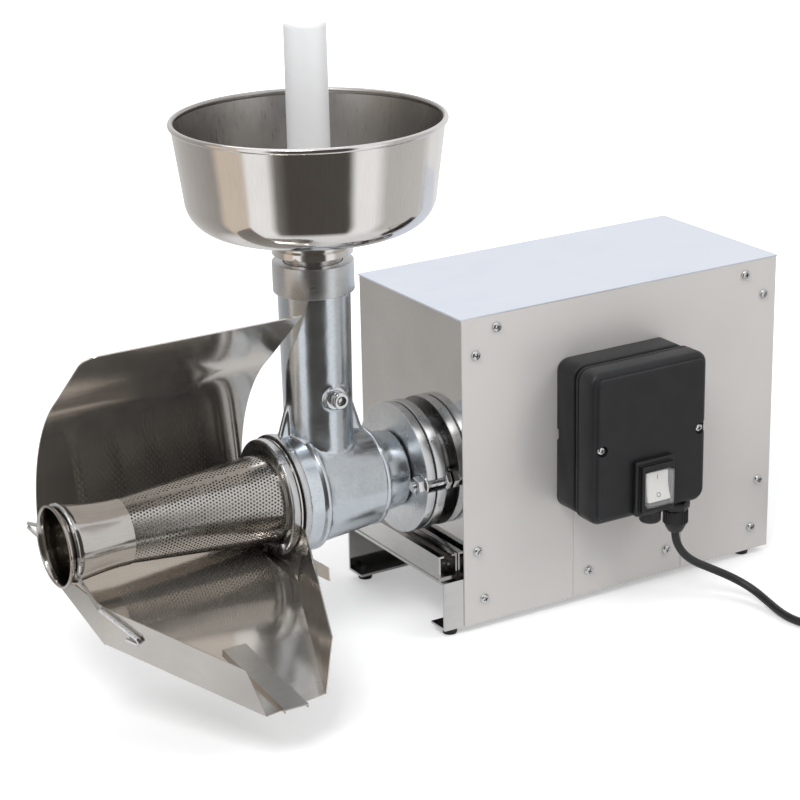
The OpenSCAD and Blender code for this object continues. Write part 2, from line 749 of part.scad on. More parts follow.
module strainer_body() color("lightsteelblue") difference() {
    union() {
        on_axis() rotate_extrude($fn = 96) polygon(concat(body_line, [[5, body_back], [5, body_front]]));
        on_feed() cylinder(r1 = feed_low_r, r2 = feed_r, h = feed_h - 2);
        on_feed(feed_h - collar_h) cylinder(r = collar_r, h = collar_h);
        on_feed(lock_h) rotate([90, 0, 0]) cylinder(r = lock_boss_r, h = lock_boss_l);
        gusset(-1);
        gusset(1);
    }
    on_axis(body_front - 1) cylinder(r = body_bore_r, h = barrel_back - body_front - 4);
    on_axis(barrel_back - 10) cylinder(r = neck_bore_r, h = 60);
    on_feed(0) cylinder(r = throat_r, h = feed_h + 1);
    on_feed(feed_seat_h) cylinder(r = feed_bore_r, h = feed_h);
    on_feed(lock_h) rotate([90, 0, 0]) cylinder(r = bolt_r + 0.1, h = 60);
    bolt_slots(body_flange_x - 1, body_flange_t + 2);
}

module body_bush() color("peru") on_axis(barrel_back - 4) ring(neck_bore_r, bush_r + run_fit,
    journal_back - barrel_back + 4);

// Radii of the cone's sheet, and the radius that the flight may reach inside the body's bore and the cone
function cone_outer(x) = cone_small_r
    + (cone_big_r - cone_small_r) * (x - cone_small_x) / (cone_big_x - cone_small_x);
function cone_inner(x) = cone_outer(x) - cone_t;
function flight_r(x) = min(body_bore_r, x < cone_big_x ? cone_inner(x) : cone_big_r - cone_t) - auger_gap;
function core_r(x) = auger_tip_r
    + (auger_core_r - auger_tip_r) * (x - auger_front) / (flight_back - auger_front);

module flight() {
    turns = (flight_back - auger_front - 4) / auger_pitch;
    n = floor(turns * flight_steps);
    pts = [for (i = [0 : n]) let (a = i * 360 / flight_steps,
        x = flight_back - i * auger_pitch / flight_steps,
            ri = core_r(x) - 1.5, ro = flight_r(x - 2))
        each [for (q = [[ri, -flight_root_t / 2], [ro, -flight_tip_t / 2], [ro, flight_tip_t / 2],
            [ri, flight_root_t / 2]])
            [x + q[1], q[0] * cos(a), q[0] * sin(a)]]];
    sides = [for (i = [0 : n - 1], k = [0 : 3]) let (j = (k + 1) % 4)
        each [[4 * i + k, 4 * i + j, 4 * i + 4 + k], [4 * i + j, 4 * i + 4 + j, 4 * i + 4 + k]]];
    translate([end_x, axis_y, axis_z])
        polyhedron(pts, concat([[3, 2, 1, 0]], sides, [[4 * n, 4 * n + 1, 4 * n + 2, 4 * n + 3]]));
}

module auger() color("ivory") difference() {
    union() {
        on_axis(auger_front) cylinder(r1 = auger_tip_r, r2 = auger_core_r, h = flight_back - auger_front);
        on_axis(flight_back + 4) cylinder(r = bush_r, h = journal_back - flight_back - 4);
        on_axis(flight_back - 1) cylinder(r1 = auger_core_r - 1, r2 = bush_r, h = 6);
        flight();
    }
    on_axis(journal_back - tang_l - slip) translate([-tang_w / 2 - slip, -tang_w / 2 - slip])
        cube([tang_w + 2 * slip, tang_w + 2 * slip, tang_l + 2]);
}

module filter_gasket() color([0.1, 0.1, 0.1]) on_axis(tray_right + tray_t) ring(rim_r - 3, body_bore_r,
    body_front - slip - tray_right - tray_t);

module filter_cone() color("gray") on_axis() rotate_extrude($fn = 96) polygon([[cone_small_r, cone_small_x],
    [cone_big_r, cone_big_x], [cone_big_r, ring_back], [ring_r - 2, ring_back], [ring_r - 2, tray_right],
    [cone_big_r - cone_t, tray_right], [cone_big_r - cone_t, cone_big_x], [cone_small_r - cone_t,
        cone_small_x]]);

module outlet_cup() color("silver") on_axis() rotate_extrude($fn = 96) polygon([
    [cone_outer(cone_small_x + cup_lap), cone_small_x + cup_lap],
        [cone_outer(cone_small_x + cup_lap) + 0.8, cone_small_x + cup_lap],
            [cone_small_r + 1.2, cone_small_x - 4],
    [cup_lip_r - 2, cup_groove_x + 5], [cup_lip_r - 2.6, cup_groove_x + 1],
        [cup_lip_r - 2.6, cup_groove_x - 1],
    [cup_lip_r, cup_groove_x - 3], [cup_lip_r, 1 - reach], [cup_lip_r - 0.8, -reach],
        [cup_lip_r - 2.6, -reach],
    [cup_lip_r - 3.6, cup_groove_x], [cup_lip_r - 3.2, cup_groove_x + 5],
        [cone_small_r, cone_small_x - 4], [cone_small_r, cone_small_x]]);

lug_w = 8;
lug_angles = [90, 213, 324];

module collar_ring() color("silver") {
    on_axis() rotate_extrude($fn = 96)
        polygon([[cone_big_r + 0.2, ring_back], [cone_big_r + 0.2, ring_front + 2.5],
        [cone_big_r + 3, ring_front + 0.6], [ring_r - 1, ring_front], [ring_r, ring_front + 1],
            [ring_r, ring_back]]);
    for (a = lug_angles) on_axis(ring_front - 1.2) rotate(a) translate([ring_r - 6, -lug_w / 2, 0])
        cube([7, lug_w, 6]);
}

// Tray section: the inner line of the scroll from the guard's bend down to the floor's start
scroll_end = -90 + tray_slope;
floor_start = scroll_at + scroll_r * [cos(scroll_end), sin(scroll_end)];
function floor_h(y) = floor_start[1] + (y - floor_start[0]) * tan(tray_slope);
function floor_pt(x, y) = [x, y, floor_h(y)];
guard_top = guard_at + guard_r * [cos(guard_angle), sin(guard_angle)]
    + guard_flange_l * [-sin(guard_angle - guard_bend), cos(guard_angle - guard_bend)];
guard_out = tray_t * [cos(guard_angle - guard_bend), sin(guard_angle - guard_bend)];

floor_front = [-spout_reach, floor_h(-spout_reach)];

// The sheet from the guard's top round under the cone and down the floor, seen along the axis
module scroll_outline() polygon(concat([guard_top], arc(guard_at, guard_r, guard_angle, 0, 14),
    arc(scroll_at, scroll_r, 0, scroll_end, 12), [floor_front, floor_front + tray_t * [sin(tray_slope),
        -cos(tray_slope)]],
    reversed(arc(scroll_at, scroll_r + tray_t, 0, scroll_end, 12)),
    reversed(arc(guard_at, guard_r + tray_t, guard_angle, 0, 14)), [guard_top + guard_out]));

module from_axis() translate([end_x, axis_y, axis_z]) children();

// What the folds take off the floor, seen from above
module beside_floor() difference() {
    translate([tray_left - 1, -spout_reach - 2])
        square([tray_right - tray_left + 2, spout_reach + 2 + floor_start[0]]);
    polygon([[tray_left - 2, 80], [tray_left - 2, tray_bend_y], [tray_left, tray_bend_y],
        [spout_left, -spout_reach],
        [spout_right, 6 - spout_reach], [floor_right_bend, right_bend_y], [floor_right_back, floor_start[0]],
        [floor_right_back, 80]]);
}

module splash_tray() color("darkgray") difference() {
    translate([0, axis_y, axis_z]) yz(tray_left, tray_right - tray_left) scroll_outline();
    from_axis() {
        translate([0, 0, -100]) linear_extrude(68) beside_floor();
        translate([floor_right_back, floor_start[0] - 1, -60]) cube([40, 60, 60 + step_h]);
    }
}

left_top_spout = [-241, 13 - spout_reach, floor_h(13 - spout_reach) + 29];
left_lap = [tray_left - 0.5, tray_bend_y + 0.9];

module tray_left_wall() color("darkgray") {
    translate([0, axis_y, axis_z]) yz(tray_left - tray_t, tray_t) difference() {
        polygon(concat([[tray_bend_y, left_wall_top], [scroll_at[0] + scroll_r - 6, left_wall_top]],
            arc(scroll_at, scroll_r + tray_t, -48, scroll_end, 6),
                [[tray_bend_y, floor_h(tray_bend_y) - tray_t]]));
        circle(cup_lip_r - 1, $fn = 64);
    }
    from_axis() facet([floor_pt(left_lap[0], left_lap[1]), [left_lap[0], left_lap[1], left_wall_top],
        left_top_spout, floor_pt(spout_left, -spout_reach)], [-tray_t * 0.87, -tray_t * 0.5, 0]);
}

right_top_back = [tray_right, 2 + right_bend_y, -14];
right_top_spout = [-170, 17 - spout_reach, floor_h(17 - spout_reach) + 33];

right_shell = [[20, -49.5], [floor_start[0] + 20, -39], [scroll_at[0] + scroll_r + 0.5, step_h]];
step_angles = [scroll_end, -54, -31.6];
beside = [tray_t / 2 + 0.1, 0, 0];
right_foot = [tray_right + tray_t / 2, right_bend_y, right_low];
right_bend = floor_pt(floor_right_bend, right_bend_y) + beside;
function shell_pt(i) = [tray_right + tray_t / 2, right_shell[i][0], right_shell[i][1]];
function step_pt(i) = let (a = step_angles[i], r = scroll_r + tray_t / 2)
    [floor_right_back, scroll_at[0] + r * cos(a), scroll_at[1] + r * sin(a)] + beside;

// A folded stretch of sheet between its corners
module patch(corners) hull() for (p = corners) translate(p) cube(tray_t, center = true);

module tray_right_wall() color("dimgray") {
    translate([0, axis_y, axis_z]) yz(tray_right, tray_t) difference() {
        union() {
            circle(rim_r - 2, $fn = 96);
            polygon(concat([[right_bend_y, right_top_back[2]], [0, 0]], reversed(right_shell),
                [[right_bend_y, right_low]]));
        }
        circle(body_bore_r, $fn = 96);
    }
    from_axis() {
        patch([step_pt(0), right_bend, shell_pt(0)]);
        patch([right_bend, right_foot, shell_pt(0)]);
        for (i = [0, 1]) patch([step_pt(i), step_pt(i + 1), shell_pt(i + 1), shell_pt(i)]);
        patch([right_top_back + beside, right_top_spout, floor_pt(spout_right, 6 - spout_reach) + beside,
            right_bend]);
        patch([right_top_back + beside, right_bend, right_foot]);
        patch([right_foot + [0, 1, 19], right_foot + [0, 1, 8], [tray_right + 8, -69, -47],
            [tray_right + 8, -68, -38]]);
    }
}

strip_w = 19;
strip_rise = 3;
strip_l = 74;
strip_lean = 8;
strip_x = 99 - reach;
strip_back = [strip_x - strip_lean, strip_l - spout_reach];
strip_front = [strip_x, -spout_reach - strip_out];

module spout_strip() color("gray") from_axis() {
    side = [strip_w / 2, 0, 0];
    up = [0, 0, strip_rise];
    back = floor_pt(strip_back[0], strip_back[1]);
    front = floor_pt(strip_front[0], strip_front[1]);
    facet([back - side + up, back + side + up, front + side + up, front - side + up], [0, 0, -tray_t]);
    facet([back - side + up, front - side + up, front - side, back - side], [tray_t, 0, 0]);
    facet([back + side + up, back + side, front + side, front + side + up], [-tray_t, 0, 0]);
}

// The wire lies in the cup's groove over its top and holds the tray by a hook and by the scroll
wire_x = cup_groove_x;
wire_ring_r = cup_lip_r - 2.6 + wire_r + fit;
wire_near = 212;
wire_far = 8;
function wire_at(a) = [wire_x, wire_ring_r * cos(a), wire_ring_r * sin(a)];
scroll_side = scroll_r + tray_t + wire_r + 0.1;
function scroll_pt(x, a) = [x, scroll_at[0] + scroll_side * cos(a), scroll_at[1] + scroll_side * sin(a)];
hook_t = 0.24;
function along_left(t, h) = [tray_left + t * (spout_left - tray_left) - tray_t - wire_r - 0.9,
    tray_bend_y - t * (spout_reach + tray_bend_y) - 1.4,
        floor_h(tray_bend_y - t * (spout_reach + tray_bend_y)) + h];

wire_path = concat([scroll_pt(tray_left + 18, -26), scroll_pt(tray_left + 3, -26), [wire_x + 1, 66, -8],
    [wire_x + 1, 65, -5]],
    [for (i = [0 : 18]) wire_at(wire_far + i * (wire_near - wire_far) / 18)],
    [along_left(0, 27), along_left(hook_t - 0.01, 17), along_left(hook_t, 15), along_left(hook_t - 0.01,
        13), along_left(hook_t - 0.08, 13)]);

module retaining_wire() color("silver") from_axis() tube(wire_path, wire_r, [0, 0, 1]);

// Hopper and pestle

module hopper_bowl() color("silver") on_feed(bowl_h) rotate_extrude($fn = 128) {
    polygon(concat([[neck_tube_r - neck_tube_t, 0]],
        arc([bowl_bottom_r - bowl_round, bowl_round], bowl_round, -90, 0, 12),
            [[hopper_r + hopper_t / 2, hopper_h - hopper_bead_r]],
        [[hopper_r - hopper_t / 2, hopper_h - hopper_bead_r]],
        arc([bowl_bottom_r - bowl_round, bowl_round], bowl_round - hopper_t, 0, -90, 12),
            [[neck_tube_r - neck_tube_t, hopper_t]]));
    translate([hopper_r, hopper_h - hopper_bead_r]) circle(hopper_bead_r, $fn = 24);
}

module hopper_neck() color("silver") on_feed() rotate_extrude($fn = 96) polygon([
    [neck_tube_r - neck_tube_t, feed_seat_h + slip], [neck_tube_r, feed_seat_h + slip],
        [neck_tube_r, neck_ring_h],
    [collar_r, neck_ring_h], [collar_r - 0.5, neck_ring_h + 5], [collar_r - 1.5, bowl_h],
        [neck_tube_r - neck_tube_t, bowl_h]]);

module hopper_lock_screw() color("silver") difference() {
    union() {
        on_feed(lock_h) rotate([90, 0, 0]) cylinder(r = bolt_r, h = lock_boss_l + 1);
        on_feed(lock_h) translate([0, -lock_boss_l, 0]) rotate([90, 0, 0]) cylinder(r = lock_head_r,
            h = lock_head_h);
    }
    on_feed(lock_h) translate([0, -lock_boss_l - lock_head_h - 1, 0]) rotate([-90, 0, 0])
        cylinder(r = 3.6, h = 6, $fn = 6);
    on_feed(lock_h) translate([0, 0, -10]) cylinder(r = neck_tube_r + fit, h = 20);
}

pestle_foot = flight_r(-feed_x) + fit;

module pestle() color("white") on_feed(pestle_foot) {
    cylinder(r1 = pestle_r - 1.5, r2 = pestle_r, h = 2);
    translate([0, 0, 2]) cylinder(r1 = pestle_r, r2 = pestle_r - 1, h = pestle_l - 4);
    translate([0, 0, pestle_l - 2]) cylinder(r1 = pestle_r - 1, r2 = pestle_r - 2, h = 2);
}

// Switch box

module switch_notches(d) for (s = [-1, 1]) translate([s * switch_w / 2, 0, -1]) cylinder(r = 4, h = d,
    $fn = 24);

module switch_box_base() color([0.09, 0.09, 0.1]) difference() {
    union() {
        on_switch() linear_extrude(switch_base_d) round_rect(switch_w, switch_h, switch_round);
        on_switch(switch_base_d - 6) translate([27, switch_h / 2 - 1, 0]) cube([13, 3.5, 6]);
    }
    on_switch(switch_wall) linear_extrude(switch_d) round_rect(switch_w - 10, switch_h - 2 * switch_wall,
        switch_round - 2);
    on_switch() switch_notches(switch_d);
}

lid_back = switch_base_d + slip;

module switch_box_lid() color([0.11, 0.11, 0.12]) difference() {
    union() {
        on_switch(lid_back) linear_extrude(switch_d - lid_back - lid_step) round_rect(switch_w, switch_h,
            switch_round);
        on_switch(switch_d - lid_step) linear_extrude(lid_step)
            round_rect(switch_w - 2 * lid_step, switch_h - 2 * lid_step, switch_round - lid_step);
    }
    on_switch(lid_back - 1) linear_extrude(switch_d - lid_back - lid_step)
        round_rect(switch_w - 10, switch_h - 2 * switch_wall, switch_round - 2);
    on_switch() switch_notches(switch_d - 8);
    for (s = [-1, 1]) on_switch(switch_d - lid_step - 0.5) translate([s * lid_screw_dx, 0, 0])
        cylinder(r = 4.5, h = 6, $fn = 32);
    for (s = [-1, 1]) on_switch(0) translate([s * lid_screw_dx, 0, 0]) cylinder(r = screw_hole_r,
        h = switch_d, $fn = 24);
    on_rocker(-10) translate([-frame_step_w / 2, -frame_step_h / 2, 0])
        cube([frame_step_w, frame_step_h, 20]);
    for (x = [gland_x, plug_hole_x]) from_corner([x, -gland_in, switch_z - switch_h / 2 - 1])
        cylinder(r = 6, h = 6, $fn = 32);
}

module on_rocker(out = 0) from_corner([switch_x, -switch_d - out, rocker_z]) rotate([90, 0, 0]) children();

module lid_screws() color("silver") for (s = [-1, 1]) on_switch(switch_d - lid_step - 0.5)
    translate([s * lid_screw_dx, 0, 0]) {
    cylinder(r = lid_screw_r, h = 2.4, $fn = 32);
    translate([0, 0, -lid_screw_l]) cylinder(r = screw_r, h = lid_screw_l, $fn = 24);
}

module rocker_frame() color([0.06, 0.06, 0.06]) difference() {
    union() {
        on_rocker(0) linear_extrude(frame_d) round_rect(frame_w, frame_h, 2);
        on_rocker(frame_d) linear_extrude(4) round_rect(frame_step_w, frame_step_h, 2);
        on_rocker(-14) linear_extrude(14) square([frame_step_w - 2 * slip, frame_step_h - 2 * slip],
            center = true);
    }
    on_rocker(-8) linear_extrude(40) square([rocker_w + 2 * fit + 2, rocker_l + 4], center = true);
    on_rocker(frame_d + 1) linear_extrude(4) square([cap_w, cap_h], center = true);
    on_pivot() rotate([90, 0, 90]) cylinder(r = pin_r + run_fit, h = rocker_w + 5, center = true, $fn = 24);
}

module on_pivot() on_rocker(-1) children();

module rocker() color("ivory") on_pivot() rotate([-rocker_tilt, 0, 0]) rotate([90, 0, 90]) {
    translate([0, 0, -rocker_w / 2 - 2]) cylinder(r = pin_r, h = rocker_w + 4, $fn = 24);
    translate([0, 0, -rocker_w / 2]) linear_extrude(rocker_w)
        polygon([[-rocker_l / 2, 10], [-rocker_l / 4, 8.9], [0, 8.5], [rocker_l / 4, 8.9],
            [rocker_l / 2, 10],
        [rocker_l / 2 - 1, 4], [4, -3], [-4, -3], [1 - rocker_l / 2, 4]]);
}

module rocker_cap() color([0.8, 0.85, 0.9, 0.4]) difference() {
    on_rocker(frame_d + 1) linear_extrude(cap_d) square([cap_w - 0.4, cap_h - 0.4], center = true);
    on_rocker(frame_d) linear_extrude(cap_d) square([cap_w - 0.4 - 2 * cap_t, cap_h - 0.4 - 2 * cap_t],
        center = true);
}

// Gland, cord and plug

module cable_gland() color([0.07, 0.07, 0.07]) from_corner([gland_x, -gland_in, switch_z - switch_h / 2]) {
    translate([0, 0, -gland_hex_h]) cylinder(r = gland_r + 1, h = gland_hex_h, $fn = 6);
    cylinder(r = 6, h = 4, $fn = 32);
    translate([0, 0, -gland_hex_h - gland_nut_h + 8]) cylinder(r = gland_r, h = gland_nut_h - 8, $fn = 48);
    translate([0, 0, -gland_hex_h - gland_nut_h]) cylinder(r1 = cord_r + 2, r2 = gland_r, h = 8, $fn = 48);
}

module blanking_plug() color([0.07, 0.07, 0.07])
    from_corner([plug_hole_x, -gland_in, switch_z - switch_h / 2]) {
    translate([0, 0, -12]) cylinder(r = gland_r + 1, h = 12, $fn = 6);
    cylinder(r = 6, h = 4, $fn = 32);
}

module power_cord() color([0.08, 0.08, 0.08]) translate([end_x, near_y, 0])
    tube(smooth(cord_route, cord_steps), cord_r);

coil_top = coil_lift + coil_rows * cord_d;

module cord_coil() color([0.08, 0.08, 0.08]) translate([end_x + coil_at[0], near_y + coil_at[1], coil_lift])
    rotate_extrude($fn = 48) translate([coil_r - coil_cols * cord_r, 0])
        square([coil_cols * cord_d, coil_rows * cord_d]);

module plug() color([0.08, 0.08, 0.08]) translate([end_x + coil_at[0] + plug_shift[0],
    near_y + coil_at[1] + plug_shift[1], coil_top]) {
    translate([-plug_w / 2, -plug_l / 2, 0]) cube([plug_w, plug_l, plug_h]);
    for (i = [-1 : 1]) translate([i * plug_pin_gap, plug_l / 2, plug_h / 2]) rotate([-90, 0, 0])
        cylinder(r = plug_pin_r, h = plug_pin_l, $fn = 24);
}

chassis();
rubber_feet();
cross_rail();
rail_rivets();
near_side_panel();
far_side_panel();
top_cover();
strainer_end_panel();
fan_end_panel();
switch_plate();
panel_screws();
gearbox_case();
gearbox_cover();
idler_shaft();
idler_gear();
output_gear();
output_shaft();
output_bearings();
shaft_seal();
motor_shell();
motor_stator();
motor_front_shield();
motor_rear_shield();
motor_bearings();
rotor();
cooling_fan();
motor_saddle();
run_capacitor();
capacitor_strap();
drive_flange();
flange_gasket();
clamp_bolts();
clamp_nuts();
strainer_body();
body_bush();
auger();
filter_gasket();
filter_cone();
outlet_cup();
collar_ring();
splash_tray();
tray_left_wall();
tray_right_wall();
spout_strip();
retaining_wire();
hopper_bowl();
hopper_neck();
hopper_lock_screw();
pestle();
switch_box_base();
switch_box_lid();
lid_screws();
rocker_frame();
rocker();
rocker_cap();
cable_gland();
blanking_plug();
power_cord();
cord_coil();
plug();
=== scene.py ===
"""Electric tomato strainer: polished housing, tinned straining unit, hopper, filter and splash tray."""

import math

import bmesh
import bpy
from mathutils import Matrix, Vector


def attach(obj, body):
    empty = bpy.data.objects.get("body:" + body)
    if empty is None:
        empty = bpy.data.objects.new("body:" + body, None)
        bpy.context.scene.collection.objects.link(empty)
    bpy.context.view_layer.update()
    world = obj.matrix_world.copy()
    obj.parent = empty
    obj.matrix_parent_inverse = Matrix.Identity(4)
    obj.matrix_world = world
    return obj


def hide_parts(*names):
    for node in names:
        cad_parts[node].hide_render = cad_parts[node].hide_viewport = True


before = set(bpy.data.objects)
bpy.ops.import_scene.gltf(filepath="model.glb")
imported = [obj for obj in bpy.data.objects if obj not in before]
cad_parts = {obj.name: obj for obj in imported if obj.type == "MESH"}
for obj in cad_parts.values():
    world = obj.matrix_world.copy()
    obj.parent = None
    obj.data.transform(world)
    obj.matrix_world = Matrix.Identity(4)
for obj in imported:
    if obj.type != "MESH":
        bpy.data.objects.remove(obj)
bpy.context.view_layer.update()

MM = 0.001

# The machine's main places in millimetres, as in the part's source
END_X = 5.25
AXIS_Y = 38.4
AXIS_Z = 123.0
NEAR_Y = -27.6
FOOT_H = 6.0
HOUSING_L = 298.0
HOUSING_W = 150.0
HOUSING_H = 250.0
FEED_X = 87.5


def moved(x, y, z):
    return Matrix.Translation((x, y, z))


def spun(degrees, axis):
    return Matrix.Rotation(math.radians(degrees), 4, axis)


TO_FRONT = spun(90, "X")
ON_AXIS = moved(END_X, AXIS_Y, AXIS_Z) @ spun(90, "Y")
ON_FEED = moved(END_X - FEED_X, AXIS_Y, AXIS_Z)
FROM_AXIS = moved(END_X, AXIS_Y, AXIS_Z)


# Camera

# Place in millimetres, azimuth, elevation and roll in degrees, lens in millimetres, shift of the frame
CAMERA_AT = (-928.60, -1500.97, 804.02)
CAMERA_TURN = (-29.839, 20.976, -1.638)
LENS = 110.694
SHIFT = (0.0476, 0.0924)


def aim_camera():
    """The camera of the photograph"""
    azimuth, elevation, roll = (math.radians(a) for a in CAMERA_TURN)
    back = Vector((math.sin(azimuth) * math.cos(elevation), -math.cos(azimuth) * math.cos(elevation),
                   math.sin(elevation)))
    right = (-back).cross(Vector((0, 0, 1))).normalized()
    up = right.cross(-back)
    x_axis = math.cos(roll) * right + math.sin(roll) * up
    y_axis = math.cos(roll) * up - math.sin(roll) * right
    data = bpy.data.cameras.new("photo_camera")
    data.sensor_width = 36
    data.lens = LENS
    data.shift_x, data.shift_y = SHIFT
    data.clip_end = 50
    camera = bpy.data.objects.new("photo_camera", data)
    turn = Matrix((x_axis, y_axis, back)).transposed().to_4x4()
    camera.matrix_world = Matrix.Translation(Vector(CAMERA_AT) * MM) @ turn
    bpy.context.scene.collection.objects.link(camera)
    bpy.context.scene.camera = camera


aim_camera()


# Finishes

def new_finish(name):
    material = bpy.data.materials.new(name)
    material.use_nodes = True
    tree = material.node_tree
    return material, tree, tree.nodes["Principled BSDF"]


def feed(node, **inputs):
    """Links or sets a node's inputs, named with _ for a space"""
    for name, value in inputs.items():
        socket = node.inputs[name.replace("_", " ")]
        if isinstance(value, bpy.types.NodeSocket):
            node.id_data.links.new(value, socket)
        else:
            socket.default_value = value


def link(tree, source, target):
    tree.links.new(source, target)


def place_of(tree, stretch=(1, 1, 1)):
    """Object coordinates in millimetres, stretched"""
    mapping = tree.nodes.new("ShaderNodeMapping")
    feed(mapping, Scale=[1000 * s for s in stretch],
         Vector=tree.nodes.new("ShaderNodeTexCoord").outputs["Object"])
    return mapping.outputs["Vector"]


def noise(tree, where, scale, detail=2.0, rough=0.5):
    node = tree.nodes.new("ShaderNodeTexNoise")
    feed(node, Scale=scale, Detail=detail, Roughness=rough, Vector=where)
    return node.outputs["Fac"]


def steps(tree, value, stops):
    """A colour ramp over (place, colour) stops"""
    node = tree.nodes.new("ShaderNodeValToRGB")
    ramp = node.color_ramp
    while len(ramp.elements) < len(stops):
        ramp.elements.new(0.5)
    for element, (at, colour) in zip(ramp.elements, stops):
        element.position = at
        element.color = (*colour, 1)
    feed(node, Fac=value)
    return node.outputs["Color"]


def two_tones(tree, value, dark, light, start=0.3, end=0.7):
    return steps(tree, value, [(start, dark), (end, light)])


def between(tree, value, low, high, start=0.0, end=1.0):
    """The value's range from start to end taken to low to high"""
    node = tree.nodes.new("ShaderNodeMapRange")
    feed(node, From_Min=start, From_Max=end, To_Min=low, To_Max=high, Value=value)
    return node.outputs["Result"]


def blend_of(tree, share, first, second):
    """Two colours mixed by the share of the second"""
    node = tree.nodes.new("ShaderNodeMix")
    node.data_type = "RGBA"
    feed(node, Factor=share, A=first, B=second)
    return node.outputs["Result"]


def bump(tree, height, strength, depth_mm, under=None):
    node = tree.nodes.new("ShaderNodeBump")
    feed(node, Strength=strength, Distance=depth_mm * MM, Height=height)
    if under is not None:
        feed(node, Normal=under)
    return node.outputs["Normal"]


def darker(colour, by):
    return [c * by for c in colour]


def sheet_steel(name, dark, light, rough, stretch=(1, 1, 1), wave=0.25, wave_scale=0.012, grain=0.0,
                metal=1.0):
    """Rolled steel sheet: a slow waviness, faint streaks along the rolling and a cloudy tone"""
    material, tree, shader = new_finish(name)
    place = place_of(tree)
    streaks = noise(tree, place_of(tree, stretch), 0.6, 3, 0.6)
    clouds = noise(tree, place, 0.02)
    waves = bump(tree, noise(tree, place, wave_scale, 1, 0.4), 1.0, wave)
    if grain:
        waves = bump(tree, streaks, 1.0, grain, waves)
    shade = blend_of(tree, 0.5, two_tones(tree, streaks, dark, light),
                     two_tones(tree, clouds, dark, light, 0.35, 0.65))
    feed(shader, Base_Color=shade, Metallic=metal, Normal=waves,
         Roughness=between(tree, streaks, rough * 0.85, rough * 1.2, 0.25, 0.75))
    return material


def satin_sheet(name, colour, rough, metal):
    """Evenly lit satin sheet with a very faint cloudiness"""
    material, tree, shader = new_finish(name)
    place = place_of(tree)
    clouds = noise(tree, place, 0.012)
    feed(shader, Base_Color=two_tones(tree, clouds, darker(colour, 0.97), colour, 0.35, 0.65), Metallic=metal,
         Specular_IOR_Level=0.6, Roughness=between(tree, clouds, rough * 0.92, rough * 1.08, 0.3, 0.7),
         Normal=bump(tree, noise(tree, place, 0.010, 1, 0.4), 1.0, 0.05))
    return material


def tinned_cast_iron():
    """Dipped tin on cast iron: bright and blue-grey, with soft ripples and a few small pits"""
    material, tree, shader = new_finish("tinned_cast_iron")
    place = place_of(tree)
    clouds = noise(tree, place, 0.035, 3)
    specks = noise(tree, place, 0.55)
    shade = blend_of(tree, 0.22, two_tones(tree, clouds, (0.55, 0.60, 0.645), (0.64, 0.69, 0.735)),
                     two_tones(tree, specks, (0.50, 0.54, 0.58), (0.68, 0.72, 0.76), 0.35, 0.6))
    ripples = bump(tree, noise(tree, place, 0.05), 1.0, 0.30)
    feed(shader, Base_Color=shade, Metallic=1, Roughness=between(tree, clouds, 0.16, 0.26, 0.3, 0.7),
         Normal=bump(tree, specks, 0.5, 0.05, ripples))
    return material


def turned_metal(name, colour, rough):
    """Metal turned on a lathe: fine rings round its axis"""
    material, tree, shader = new_finish(name)
    place = place_of(tree)
    centre = tree.nodes.new("ShaderNodeMapping")
    feed(centre, Location=(0, -AXIS_Y, -AXIS_Z), Vector=place)
    rings = tree.nodes.new("ShaderNodeTexWave")
    rings.wave_type = "RINGS"
    rings.rings_direction = "X"
    feed(rings, Scale=1.2, Distortion=0.6, Detail=2, Vector=centre.outputs["Vector"])
    clouds = noise(tree, place, 0.08, 3)
    feed(shader, Base_Color=two_tones(tree, clouds, darker(colour, 0.86), colour), Metallic=1,
         Roughness=between(tree, clouds, rough * 0.8, rough * 1.3, 0.3, 0.7),
         Normal=bump(tree, rings.outputs["Fac"], 0.35, 0.02))
    return material


def plain_metal(name, colour, rough, pit=0.05, scale=0.4):
    """Plain or plated metal with a fine grain"""
    material, tree, shader = new_finish(name)
    grains = noise(tree, place_of(tree), scale, 3)
    feed(shader, Base_Color=two_tones(tree, grains, darker(colour, 0.85), colour), Metallic=1,
         Roughness=between(tree, grains, rough * 0.8, rough * 1.3, 0.3, 0.7),
         Normal=bump(tree, grains, 0.5, pit))
    return material


def moulded(name, colour, rough, grain_scale=1.6, grain_depth=0.05, light=1.12, inner=0.0, gloss=0.5):
    """Moulded plastic or rubber with the mould's fine texture"""
    material, tree, shader = new_finish(name)
    place = place_of(tree)
    grains = noise(tree, place, grain_scale, 2, 0.6)
    pale = [min(1, c * light) for c in colour]
    feed(shader, Base_Color=two_tones(tree, noise(tree, place, 0.05), colour, pale), Specular_IOR_Level=gloss,
         Roughness=between(tree, grains, rough * 0.88, min(1, rough * 1.12), 0.3, 0.7),
         Normal=bump(tree, grains, 0.5, grain_depth))
    if inner:
        feed(shader, Subsurface_Weight=inner, Subsurface_Radius=(0.004, 0.004, 0.0045))
    return material


def clear_plastic():
    """A thin clear cap: mostly seen through, with its own gloss"""
    material, tree, shader = new_finish("clear_plastic")
    clouds = noise(tree, place_of(tree), 0.25)
    feed(shader, Base_Color=(0.80, 0.81, 0.82, 1), Alpha=0.14, Specular_IOR_Level=0.8,
         Roughness=between(tree, clouds, 0.04, 0.16, 0.35, 0.7))
    return material


